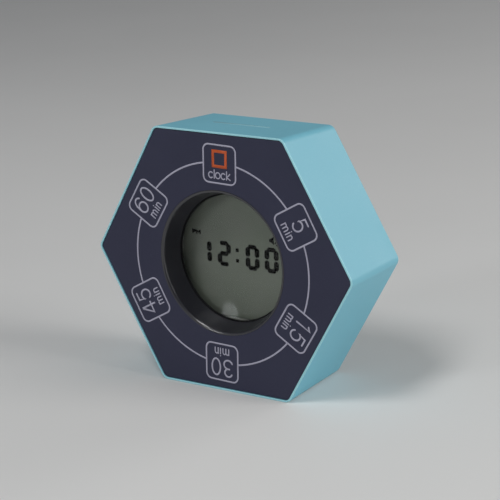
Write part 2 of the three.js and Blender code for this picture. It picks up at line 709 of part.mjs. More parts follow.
function makeScrews() {
  casePosts.forEach(([x, y], i) => {
    const geometry = screw(caseScrew, caseScrewLength, caseHeadSeat - layerGap);
    addPiece(`case_screw_${i + 1}`, geometry.translate(x, y, 0), 'steel');
  });
  boardPosts.forEach(([x, y], i) => {
    const geometry = screw(smallScrew, 6.5, boardRear - layerGap);
    addPiece(`board_screw_${i + 1}`, geometry.translate(x, y, 0), 'steel');
  });
  // These two sets go in from the front, before the face is fitted.
  const turnedRound = (length, seat) => screw(smallScrew, length, 0).rotateX(Math.PI).translate(0, 0, seat);
  keyBoardPosts.forEach(([x, y], i) => {
    const geometry = turnedRound(5.5, keyBoardFront + layerGap);
    addPiece(`key_board_screw_${i + 1}`, geometry.translate(x, y, 0), 'steel');
  });
  boxScrewPlaces.forEach(([x, y], i) => {
    const geometry = turnedRound(4, earFront + layerGap);
    addPiece(`box_screw_${i + 1}`, geometry.translate(x, y, 0), 'steel');
  });
}

makeShell();
makeFrontPlate();
const frameOutside = makeDisplay();
const boardBottom = makeMainBoard(frameOutside);
makeKeyBoard();
makeBatteryBox();
makeCell('cell_1', 1);
makeCell('cell_2', -1);
const contacts = makeContacts();
makeDoor();
makeWiring(contacts, boardBottom);
makeScrews();

// Stand the timer on its bottom flat, with the middle of that flat at the origin.
const restHeight = apothemAt(caseDepth / 2);
const restPoint = new THREE.Vector3(0, -restHeight, caseDepth / 2);
const lean = new THREE.Euler(Math.PI / 2 - draft, 0, 0);
upright.rotation.copy(lean);
upright.position.copy(restPoint.applyEuler(lean).negate());

export default timer;
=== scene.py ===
# Hexagonal flip timer clock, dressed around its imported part.
# Lengths in the dictionaries are millimetres on the bench, where the timer lies on its back:
# X to the right, Y up the face, Z from the back wall to the face.
import json
import math

import bmesh
import bpy
import numpy as np
from mathutils import Matrix, Vector


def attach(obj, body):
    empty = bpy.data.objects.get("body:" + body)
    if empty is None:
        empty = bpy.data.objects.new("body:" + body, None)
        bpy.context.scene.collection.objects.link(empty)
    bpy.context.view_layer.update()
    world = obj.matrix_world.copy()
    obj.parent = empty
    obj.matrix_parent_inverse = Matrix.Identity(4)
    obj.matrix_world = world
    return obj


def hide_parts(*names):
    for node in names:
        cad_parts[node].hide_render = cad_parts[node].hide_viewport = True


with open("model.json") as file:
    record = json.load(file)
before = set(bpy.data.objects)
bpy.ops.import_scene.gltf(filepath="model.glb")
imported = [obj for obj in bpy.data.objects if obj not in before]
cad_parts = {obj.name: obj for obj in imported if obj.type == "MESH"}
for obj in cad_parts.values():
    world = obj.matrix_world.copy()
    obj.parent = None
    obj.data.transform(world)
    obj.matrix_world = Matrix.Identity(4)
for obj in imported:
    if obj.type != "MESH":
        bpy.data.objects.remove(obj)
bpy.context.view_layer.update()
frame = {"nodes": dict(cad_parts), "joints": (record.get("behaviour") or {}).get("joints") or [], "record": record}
scene = bpy.context.scene
mm = 0.001

# The bench frame, read from the mounts and joints of the part
mounts = {mount["name"]: mount for mount in frame["record"]["mounts"]}
joints = {joint["name"]: joint for joint in frame["joints"]}
faceward = Vector(joints["set_press"]["axis"]).normalized()
rightward = Vector((1, 0, 0))
upward = faceward.cross(rightward)
middle = Vector(mounts["top_flat"]["pos_m"]) / 2
halfDepth = (middle - Vector(mounts["back_face"]["pos_m"])).dot(faceward)
turn = Matrix((rightward, upward, faceward)).transposed().to_4x4()
bench = Matrix.Translation(middle - faceward * halfDepth) @ turn
caseDepth = 2 * halfDepth / mm
slope = math.tan(math.asin(faceward.z))  # draft of the six sides
frontApothem = (middle.length + halfDepth * slope) / mm


def benchBox(node):
    back = np.array(bench.inverted())
    places = np.array([vertex.co for vertex in frame["nodes"][node].data.vertices])
    places = (places @ back[:3, :3].T + back[:3, 3]) / mm
    return Vector(places.min(0)), Vector(places.max(0))


def benchMiddle(node):
    low, high = benchBox(node)
    return (low + high) / 2


# Materials

def addNode(tree, kind, **settings):
    node = tree.nodes.new(kind)
    for key, value in settings.items():
        if hasattr(node, key):
            setattr(node, key, value)
        else:
            node.inputs[key.replace("_", " ")].default_value = value
    return node


def newMaterial(name):
    material = bpy.data.materials.new(name)
    material.use_nodes = True
    material.node_tree.nodes.clear()
    return material, material.node_tree


def noise(tree, places, scale, detail=3.0, roughness=0.55):
    node = addNode(tree, "ShaderNodeTexNoise")
    node.inputs["Scale"].default_value = scale
    node.inputs["Detail"].default_value = detail
    node.inputs["Roughness"].default_value = roughness
    tree.links.new(places, node.inputs["Vector"])
    return node.outputs["Fac"]


def spread(tree, value, low, high, fromLow=0.3, fromHigh=0.7):
    node = addNode(tree, "ShaderNodeMapRange")
    node.inputs["From Min"].default_value = fromLow
    node.inputs["From Max"].default_value = fromHigh
    node.inputs["To Min"].default_value = low
    node.inputs["To Max"].default_value = high
    tree.links.new(value, node.inputs["Value"])
    return node.outputs["Result"]


def blendColours(tree, share, first, second):
    node = addNode(tree, "ShaderNodeMix", data_type="RGBA")
    tree.links.new(share, node.inputs["Factor"])
    for socket, colour in ((6, first), (7, second)):
        if isinstance(colour, tuple):
            node.inputs[socket].default_value = (*colour, 1)
        else:
            tree.links.new(colour, node.inputs[socket])
    return node.outputs[2]


def bumped(tree, shader, heights):
    # Each height is (value, depth in mm), stacked one on the next
    normal = None
    for value, depth in heights:
        node = addNode(tree, "ShaderNodeBump")
        node.inputs["Strength"].default_value = 1
        node.inputs["Distance"].default_value = depth * mm
        tree.links.new(value, node.inputs["Height"])
        if normal is not None:
            tree.links.new(normal, node.inputs["Normal"])
        normal = node.outputs["Normal"]
    if normal is not None:
        tree.links.new(normal, shader.inputs["Normal"])


def opaque(name):
    material, tree = newMaterial(name)
    places = addNode(tree, "ShaderNodeTexCoord").outputs["Object"]
    shader = addNode(tree, "ShaderNodeBsdfPrincipled")
    output = addNode(tree, "ShaderNodeOutputMaterial")
    tree.links.new(shader.outputs["BSDF"], output.inputs["Surface"])
    return material, tree, places, shader


def surface(name, look):
    # One finish for plastics, metals and boards: mottled colour, fine grain, uneven gloss, and lighter edges that
    # are rubbed wear on some parts and a painted highlight on the case
    material, tree, places, shader = opaque(name)
    mottle = noise(tree, places, look.get("mottleScale", 60), 4)
    grain = noise(tree, places, look.get("grainScale", 3500), 2)
    colour = blendColours(tree, spread(tree, mottle, 0, 1), look["colour"], look["tint"])
    if "speck" in look:
        specks = spread(tree, grain, 0, 1, 0.56, 0.74)
        colour = blendColours(tree, specks, colour, look["speck"])
    # Lighter rounded edges: rubbed wear, and on the case and its rim a painted highlight along the edges
    if "edgeWearAndSheen" in look:
        edge = addNode(tree, "ShaderNodeBevel", samples=6)
        edge.inputs["Radius"].default_value = look.get("edgeWearAndSheenWidth", 0.35) * mm
        flat = addNode(tree, "ShaderNodeNewGeometry")
        facing = addNode(tree, "ShaderNodeVectorMath", operation="DOT_PRODUCT")
        tree.links.new(edge.outputs["Normal"], facing.inputs[0])
        tree.links.new(flat.outputs["Normal"], facing.inputs[1])
        wearAndSheenMask = spread(tree, facing.outputs["Value"], look.get("edgeWearAndSheenShare", 0.5), 0, 0.75, 0.99)
        colour = blendColours(tree, wearAndSheenMask, colour, look["edgeWearAndSheen"])
    tree.links.new(colour, shader.inputs["Base Color"])
    gloss = spread(tree, mottle, *look["roughness"])
    tree.links.new(gloss, shader.inputs["Roughness"])
    shader.inputs["Metallic"].default_value = look.get("metal", 0)
    shader.inputs["Specular IOR Level"].default_value = look.get("shine", 0.5)
    shader.inputs["Coat Weight"].default_value = look.get("coat", 0)
    shader.inputs["Coat Roughness"].default_value = look.get("coatRoughness", 0.1)
    heights = [(grain, look.get("grainDepth", 0.01)), (mottle, look.get("waveDepth", 0.01))]
    if "brush" in look:
        stretch = addNode(tree, "ShaderNodeMapping")
        stretch.inputs["Scale"].default_value = look["brush"]
        tree.links.new(places, stretch.inputs["Vector"])
        lines = noise(tree, stretch.outputs["Vector"], 400, 2)
        heights.append((lines, look.get("brushDepth", 0.01)))
    bumped(tree, shader, heights)
    return material


def clearSheet(name, look):
    # Clear window: mostly seen through, with a mirror share that grows at a slant
    material, tree = newMaterial(name)
    places = addNode(tree, "ShaderNodeTexCoord").outputs["Object"]
    output = addNode(tree, "ShaderNodeOutputMaterial")
    through = addNode(tree, "ShaderNodeBsdfTransparent")
    mirror = addNode(tree, "ShaderNodeBsdfPrincipled")
    smear = noise(tree, places, look["smearScale"], 3)
    tint = blendColours(tree, spread(tree, smear, 0, 1), look["colour"], look["tint"])
    tree.links.new(tint, through.inputs["Color"])
    mirror.inputs["Base Color"].default_value = (0.9, 0.92, 0.92, 1)
    mirror.inputs["Metallic"].default_value = 1
    tree.links.new(spread(tree, smear, *look["roughness"]), mirror.inputs["Roughness"])
    slant = addNode(tree, "ShaderNodeLayerWeight")
    slant.inputs["Blend"].default_value = 0.5
    fifth = addNode(tree, "ShaderNodeMath", operation="POWER")
    tree.links.new(slant.outputs["Facing"], fifth.inputs[0])
    fifth.inputs[1].default_value = 5
    share = spread(tree, fifth.outputs["Value"], look["mirror"], 1, 0, 1)
    mix = addNode(tree, "ShaderNodeMixShader")
    tree.links.new(share, mix.inputs["Fac"])
    tree.links.new(through.outputs["BSDF"], mix.inputs[1])
    tree.links.new(mirror.outputs["BSDF"], mix.inputs[2])
    tree.links.new(mix.outputs["Shader"], output.inputs["Surface"])
    return material


def displayBack(name, look):
    # Reflective film behind the glass: grey green, with painted shade that darkens it to the left, and a faint
    # sparkle
    material, tree, places, shader = opaque(name)
    axes = addNode(tree, "ShaderNodeSeparateXYZ")
    tree.links.new(places, axes.inputs["Vector"])
    across = spread(tree, axes.outputs["X"], 0, 1, -look["reach"] * mm, look["reach"] * mm)
    cloud = noise(tree, places, look["cloudScale"], 3)
    sparkle = noise(tree, places, look["sparkleScale"], 1)
    # Painted shade: the film's colour darkens towards its left side
    colour = blendColours(tree, across, look["shadedLeftColour"], look["colour"])
    colour = blendColours(tree, spread(tree, cloud, 0, 0.5), colour, look["tint"])
    colour = blendColours(tree, spread(tree, sparkle, 0, 0.35, 0.5, 0.8), colour, look["sparkle"])
    tree.links.new(colour, shader.inputs["Base Color"])
    tree.links.new(spread(tree, cloud, *look["roughness"]), shader.inputs["Roughness"])
    bumped(tree, shader, [(sparkle, look["sparkleDepth"])])
    return material


casePaint = {
    "colour": (0.170, 0.478, 0.600),
    "tint": (0.186, 0.500, 0.618),
    "speck": (0.210, 0.525, 0.640),
    # The case's much lighter edge colour is a painted highlight along every edge, with a little rubbed wear
    "edgeWearAndSheen": (0.42, 0.78, 0.84),
    "edgeWearAndSheenWidth": 0.6,
    "edgeWearAndSheenShare": 0.8,
    "roughness": (0.40, 0.50),
    "grainScale": 2600,
    "grainDepth": 0.012,
    "mottleScale": 45,
    "waveDepth": 0.02,
}
facePaint = {
    "colour": (0.019, 0.021, 0.053),
    "tint": (0.024, 0.026, 0.061),
    "speck": (0.030, 0.032, 0.069),
    "roughness": (0.36, 0.44),
    "grainScale": 3200,
    "grainDepth": 0.006,
    "mottleScale": 38,
    "waveDepth": 0.02,
    "shine": 0.4,
}
ringPaint = {
    "colour": (0.010, 0.010, 0.016),
    "tint": (0.014, 0.014, 0.021),
    "roughness": (0.38, 0.44),
    "grainDepth": 0.001,
    "mottleScale": 50,
    "waveDepth": 0.01,
    "coat": 1.0,
    "coatRoughness": 0.08,
}
conePaint = {
    **ringPaint,
    "roughness": (0.46, 0.52),
    "coat": 0.1,
    "coatRoughness": 0.3,
}
# Painted highlight: a lighter copy of the case paint for the rim's front faces, standing in for the light the rim
# catches
litRimPaint = {
    **casePaint,
    "colour": (0.36, 0.74, 0.83),
    "tint": (0.40, 0.78, 0.86),
    "speck": (0.44, 0.81, 0.88),
    "roughness": (0.30, 0.38),
}
paints = {
    "case_plastic": surface("satinTurquoise", casePaint),
    "case_rim_highlight": surface("paleTurquoiseRimHighlight", litRimPaint),
    "well_cone": surface("satinCone", conePaint),
    "face_plastic": surface("navyGreyFace", facePaint),
    "gloss_plastic": surface("polishedNavy", ringPaint),
    "black_foam": surface("blackFoam", {
        "colour": (0.006, 0.006, 0.007), "tint": (0.012, 0.012, 0.013), "speck": (0.03, 0.03, 0.03),
        "roughness": (0.85, 0.95), "grainScale": 1800, "grainDepth": 0.05, "shine": 0.2}),
    "white_plastic": surface("whiteFrame", {
        "colour": (0.66, 0.66, 0.63), "tint": (0.72, 0.72, 0.69), "roughness": (0.45, 0.55),
        "grainScale": 2200, "grainDepth": 0.01}),
    "strip_rubber": surface("stripRubber", {
        "colour": (0.035, 0.035, 0.037), "tint": (0.06, 0.06, 0.062), "roughness": (0.7, 0.85),
        "grainDepth": 0.02, "brush": (12, 0.2, 0.2), "brushDepth": 0.04}),
    "black_plastic": surface("blackMoulding", {
        "colour": (0.012, 0.012, 0.013), "tint": (0.02, 0.02, 0.021), "speck": (0.035, 0.035, 0.036),
        "edgeWearAndSheen": (0.06, 0.06, 0.062), "roughness": (0.42, 0.55), "grainScale": 2400, "grainDepth": 0.015}),
    "can_metal": surface("tinnedCan", {
        "colour": (0.55, 0.56, 0.58), "tint": (0.66, 0.67, 0.69), "roughness": (0.22, 0.38),
        "metal": 1, "brush": (1, 14, 1), "grainDepth": 0.003}),
    "spring_steel": surface("nickelSpring", {
        "colour": (0.60, 0.59, 0.56), "tint": (0.72, 0.71, 0.68), "roughness": (0.16, 0.28),
        "metal": 1, "brush": (1, 18, 1), "brushDepth": 0.006, "grainDepth": 0.002}),
    "screw_steel": surface("zincScrew", {
        "colour": (0.52, 0.53, 0.55), "tint": (0.64, 0.64, 0.66), "roughness": (0.25, 0.4),
        "metal": 1, "grainDepth": 0.008, "edgeWearAndSheen": (0.8, 0.8, 0.82)}),
    "key_plastic": surface("whiteKey", {
        "colour": (0.74, 0.75, 0.74), "tint": (0.80, 0.81, 0.80), "edgeWearAndSheen": (0.9, 0.9, 0.9),
        "roughness": (0.36, 0.46), "grainScale": 3000, "grainDepth": 0.008}),
    "red_wire": surface("redSleeving", {
        "colour": (0.42, 0.022, 0.016), "tint": (0.50, 0.03, 0.02), "roughness": (0.35, 0.5),
        "grainDepth": 0.01}),
    "black_wire": surface("blackSleeving", {
        "colour": (0.012, 0.012, 0.012), "tint": (0.022, 0.022, 0.023), "roughness": (0.35, 0.5),
        "grainDepth": 0.01}),
    "grey_wire": surface("greyRibbon", {
        "colour": (0.27, 0.28, 0.29), "tint": (0.36, 0.37, 0.38), "roughness": (0.5, 0.6),
        "brush": (900, 1, 1), "brushDepth": 0.05, "grainDepth": 0.01}),
    "clear_plastic": clearSheet("clearWindow", {
        "colour": (0.96, 0.97, 0.96), "tint": (0.99, 0.99, 0.99), "smearScale": 70,
        "roughness": (0.07, 0.10), "mirror": 0.006}),
    "coated_glass": clearSheet("coatedGlass", {
        "colour": (0.97, 0.98, 0.97), "tint": (0.99, 0.99, 0.99), "smearScale": 90,
        "roughness": (0.05, 0.08), "mirror": 0.002}),
    # The film's darker left colour is painted shade
    "display_glass": displayBack("displayFilm", {
        "colour": (0.215, 0.235, 0.196), "shadedLeftColour": (0.140, 0.156, 0.130),
        "tint": (0.228, 0.248, 0.210), "sparkle": (0.30, 0.32, 0.28), "reach": 20,
        "cloudScale": 55, "sparkleScale": 5200, "sparkleDepth": 0.004, "roughness": (0.34, 0.46)}),
    "cell_sleeve": surface("cellCan", {
        "colour": (0.50, 0.50, 0.50), "tint": (0.60, 0.60, 0.60), "roughness": (0.2, 0.32),
        "metal": 1, "grainDepth": 0.002}),
}


def boardPaint(name, look):
    # Green mask over copper tracks: straight runs from a brick pattern, with pads here and there
    material, tree, places, shader = opaque(name)
    lie = addNode(tree, "ShaderNodeMapping")
    lie.inputs["Rotation"].default_value = (math.pi / 2, 0, 0)
    tree.links.new(places, lie.inputs["Vector"])
    tracks = addNode(tree, "ShaderNodeTexBrick")
    tracks.inputs["Scale"].default_value = look["trackScale"]
    tracks.inputs["Mortar Size"].default_value = 0.035
    tracks.inputs["Color1"].default_value = (1, 1, 1, 1)
    tracks.inputs["Color2"].default_value = (1, 1, 1, 1)
    tracks.inputs["Mortar"].default_value = (0, 0, 0, 1)
    tree.links.new(lie.outputs["Vector"], tracks.inputs["Vector"])
    cells = addNode(tree, "ShaderNodeTexVoronoi")
    cells.inputs["Scale"].default_value = look["padScale"]
    tree.links.new(places, cells.inputs["Vector"])
    pads = spread(tree, cells.outputs["Distance"], 1, 0, 0.10, 0.13)
    weave = noise(tree, places, 900, 2)
    mask = blendColours(tree, tracks.outputs["Fac"], look["colour"], look["track"])
    mask = blendColours(tree, spread(tree, weave, 0, 0.4), mask, look["tint"])
    colour = blendColours(tree, pads, mask, look["pad"])
    tree.links.new(colour, shader.inputs["Base Color"])
    tree.links.new(pads, shader.inputs["Metallic"])
    tree.links.new(spread(tree, weave, 0.3, 0.42), shader.inputs["Roughness"])
    bumped(tree, shader, [(tracks.outputs["Fac"], 0.03), (weave, 0.01)])
    return material


paints["circuit_board"] = boardPaint("greenBoard", {
    "colour": (0.010, 0.085, 0.030), "track": (0.020, 0.150, 0.055), "tint": (0.014, 0.105, 0.040),
    "pad": (0.75, 0.70, 0.58), "trackScale": 190, "padScale": 260})
whiteInk = surface("paleInk", {
    "colour": (0.430, 0.420, 0.530), "tint": (0.480, 0.470, 0.580), "roughness": (0.5, 0.62),
    "grainScale": 5000, "grainDepth": 0.003, "mottleScale": 300})
orangeInk = surface("orangeInk", {
    "colour": (0.56, 0.085, 0.014), "tint": (0.64, 0.105, 0.018), "roughness": (0.5, 0.6),
    "grainScale": 5000, "grainDepth": 0.003, "mottleScale": 300})
segmentInk = surface("displaySegment", {
    "colour": (0.002, 0.002, 0.002), "tint": (0.004, 0.004, 0.004), "roughness": (0.8, 0.9),
    "grainDepth": 0.001, "shine": 0.0})
toneInk = surface("tonalInk", {
    "colour": (0.255, 0.525, 0.600), "tint": (0.27, 0.54, 0.62), "roughness": (0.38, 0.46),
    "grainScale": 5000, "grainDepth": 0.003})
keyInk = surface("keyMark", {
    "colour": (0.10, 0.11, 0.12), "tint": (0.14, 0.15, 0.16), "roughness": (0.5, 0.6),
    "grainDepth": 0.002})
print(f"materials: {len(bpy.data.materials)} made")


# Mesh building

def newObject(name, points, faces, paint):
    mesh = bpy.data.meshes.new(name)
    build = bmesh.new()
    corners = [build.verts.new(Vector(point) * mm) for point in points]
    for face in faces:
        build.faces.new([corners[i] for i in face])
    bmesh.ops.recalc_face_normals(build, faces=build.faces)
    build.to_mesh(mesh)
    build.free()
    piece = bpy.data.objects.new(name, mesh)
    scene.collection.objects.link(piece)
    mesh.materials.append(paint)
    mesh.shade_smooth()
    piece.matrix_world = bench
    return piece


def applyModifiers(piece):
    bpy.context.view_layer.update()
    graph = bpy.context.evaluated_depsgraph_get()
    mesh = bpy.data.meshes.new_from_object(piece.evaluated_get(graph))
    old = piece.data
    piece.modifiers.clear()
    piece.data = mesh
    mesh.name = piece.name
    bpy.data.meshes.remove(old)


def combine(piece, tools, how):
    group = bpy.data.collections.new("tools")
    for tool in tools:
        group.objects.link(tool)
    carve = piece.modifiers.new("carve", "BOOLEAN")
    carve.operation = how
    carve.operand_type = "COLLECTION"
    carve.collection = group
    carve.solver = "EXACT"
    applyModifiers(piece)
    for tool in tools:
        bpy.data.objects.remove(tool)
    bpy.data.collections.remove(group)


def soften(piece, width, segments=3, angle=32):
    # Rounds the sharp edges and keeps the flats flat
    if width:
        edge = piece.modifiers.new("edges", "BEVEL")
        edge.width = width * mm
        edge.segments = segments
        edge.limit_method = "ANGLE"
        edge.angle_limit = math.radians(angle)
        edge.miter_outer = "MITER_ARC"
    flats = piece.modifiers.new("flats", "WEIGHTED_NORMAL")
    flats.keep_sharp = True
    flats.weight = 60
    return piece


def settle(piece, body, slot, *nodes):
    if piece.type == "MESH":
        piece.data.transform(piece.matrix_world)
        piece.matrix_world = Matrix.Identity(4)
    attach(piece, body)
    if nodes:
        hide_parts(*nodes)
    return piece


def arc(x, y, across, along, start, end, steps=14):
    points = []
    for i in range(steps + 1):
        angle = math.radians(start + (end - start) * i / steps)
        points.append((x + across * math.cos(angle), y + along * math.sin(angle)))
    return points


def rounded(corners, radius, steps=8):
    # Corners run counter-clockwise; each is replaced by an arc
    outline = []
    for i, corner in enumerate(corners):
        here = Vector(corner)
        back = (Vector(corners[i - 1]) - here).normalized()
        ahead = (Vector(corners[(i + 1) % len(corners)]) - here).normalized()
        half = back.angle(ahead) / 2
        centre = here + (back + ahead).normalized() * radius / math.sin(half)
        sweep = math.pi - 2 * half
        start = math.atan2(*reversed((here + back * radius / math.tan(half) - centre).to_tuple()))
        for step in range(steps + 1):
            angle = start + sweep * step / steps
            outline.append((centre.x + radius * math.cos(angle), centre.y + radius * math.sin(angle)))
    return outline


def box2d(width, height, x=0.0, y=0.0):
    return [(x + sx * width / 2, y + sy * height / 2) for sx, sy in ((-1, -1), (1, -1), (1, 1), (-1, 1))]


def circle(radius, x=0.0, y=0.0, steps=48):
    return arc(x, y, radius, radius, 0, 360, steps)[:-1]


def hexOutline(z, inset, radius, steps=10):
    reach = (frontApothem - (caseDepth - z) * slope - inset) / math.cos(math.pi / 6)
    corners = [(reach * math.cos(i * math.pi / 3), reach * math.sin(i * math.pi / 3)) for i in range(6)]
    return rounded(corners, radius, steps)


def loft(name, rings, paint, closed=False):
    # Rings are lists of 3D points, all of one length
    count = len(rings[0])
    points = [point for ring in rings for point in ring]
    faces = []
    last = len(rings) if closed else len(rings) - 1
    for level in range(last):
        low = level * count
        high = (level + 1) % len(rings) * count
        for i in range(count):
            j = (i + 1) % count
            faces.append((low + i, low + j, high + j, high + i))
    if not closed:
        faces.append(tuple(reversed(range(count))))
        faces.append(tuple(range(len(points) - count, len(points))))
    return newObject(name, points, faces, paint)


def slab(name, outline, rear, front, paint):
    return loft(name, [[(x, y, z) for x, y in outline] for z in (rear, front)], paint)


def cutter(outline, rear, front):
    return slab("cutter", outline, rear, front, None)


def lathe(name, profile, paint, x=0.0, y=0.0, steps=96, closed=True):
    # Profile points are (radius, z). A closed profile is a ring, an open one ends on the axis
    points, faces, rows = [], [], []
    for radius, z in profile:
        if radius < 1e-6:
            rows.append([len(points)])
            points.append((x, y, z))
        else:
            rows.append(list(range(len(points), len(points) + steps)))
            points += [(px, py, z) for px, py in circle(radius, x, y, steps)]
    pairs = list(zip(rows, rows[1:])) + ([(rows[-1], rows[0])] if closed else [])
    for low, high in pairs:
        for i in range(steps):
            j = (i + 1) % steps
            if len(low) == 1 and len(high) == 1:
                continue
            if len(low) == 1:
                faces.append((low[0], high[j], high[i]))
            elif len(high) == 1:
                faces.append((low[i], low[j], high[0]))
            else:
                faces.append((low[i], low[j], high[j], high[i]))
    return newObject(name, points, faces, paint)


def fillet(x, z, radius, start, end, steps=6):
    return arc(x, z, radius, radius, start, end, steps)


def joined(name, pieces):
    # One object from several, for the strokes of a mark
    build = bmesh.new()
    for piece in pieces:
        build.from_mesh(piece.data)
    mesh = bpy.data.meshes.new(name)
    build.to_mesh(mesh)
    build.free()
    mesh.materials.append(pieces[0].data.materials[0])
    for piece in pieces:
        bpy.data.objects.remove(piece)
    whole = bpy.data.objects.new(name, mesh)
    scene.collection.objects.link(whole)
    whole.matrix_world = bench
    return whole


def stroke(path, width, rear, front, paint, closed=False, lower=0.0):
    # A flat line of ink with round ends. It thins towards its end by lower, so that a
    # line can run over its own start
    middlePoints = [Vector(point) for point in path]
    count = len(middlePoints)
    stations = []
    for i, point in enumerate(middlePoints):
        before = middlePoints[i - 1] if closed or i > 0 else None
        after = middlePoints[(i + 1) % count] if closed or i < count - 1 else None
        first = (point - before).normalized() if before is not None else None
        second = (after - point).normalized() if after is not None else None
        first = first or second
        second = second or first
        along = (first + second).normalized()
        side = Vector((-along.y, along.x))
        reach = min(1.6, 1 / max(0.3, along.dot(first)))
        stations.append((point, side, reach * width / 2, along))
    if not closed:
        ends = []
        for angle in (80, 55, 28):
            turnBy = math.radians(angle)
            ends.append((math.sin(turnBy) * width / 2, math.cos(turnBy)))
        start, finish = stations[0], stations[-1]
        caps = [(start[0] - start[3] * out, start[1], start[2] * share, start[3]) for out, share in ends]
        tail = [(finish[0] + finish[3] * out, finish[1], finish[2] * share, finish[3])
                for out, share in reversed(ends)]
        stations = caps + stations + tail
    points, faces = [], []
    for i, (point, side, half, _) in enumerate(stations):
        top = front - lower * i / len(stations)
        for sign, z in ((1, rear), (1, top), (-1, top), (-1, rear)):
            place = point + side * half * sign
            points.append((place.x, place.y, z))
    total = len(stations)
    for i in range(total if closed else total - 1):
        low = 4 * i
        high = 4 * ((i + 1) % total)
        for k in range(4):
            m = (k + 1) % 4
            faces.append((low + k, low + m, high + m, high + k))
    if not closed:
        faces.append((0, 1, 2, 3))
        faces.append((4 * total - 1, 4 * total - 2, 4 * total - 3, 4 * total - 4))
    return newObject("stroke", points, faces, paint)


# Case shell

caseLook = {
    "cornerRadius": 2.8,
    "innerCorner": 1.4,
    "rearRound": 1.0,
    "rimWall": 0.62,
    "rimRound": 0.24,
    "sideWall": 2.0,
    "backWall": 2.2,
    "edge": 0.12,
    "fit": 0.3,
    "doorCorner": 2.0,
    "doorLedge": 1.9,
    "bay": (52.0, 23.0),
    "bayTop": 3.6,
    "bayFrame": 1.5,
    "tabReach": 1.8,
    "tabX": 14,
    "tabSlot": 6.6,
    "caseBoss": (3.6, 12.5),  # radius and top of each boss
    "keyBoss": (2.4, 7.7),
    "boxBoss": 2.2,
    "buzzerWall": (7.3, 5.5),
    "buzzerSeat": 6.3,
    "screwWell": (2.9, 10.5),
    "screwBore": (1.6, 13),
    "smallBore": 1.0,
    "keyHole": 4.0,
    "slotGap": 0.8,
    "switchRecess": (5, 4, 0.7),
    "soundHole": 0.6,
    "soundHoleReach": 2.6,
    "scoopRadius": 5.0,
    "scoopDepth": 1.0,
}


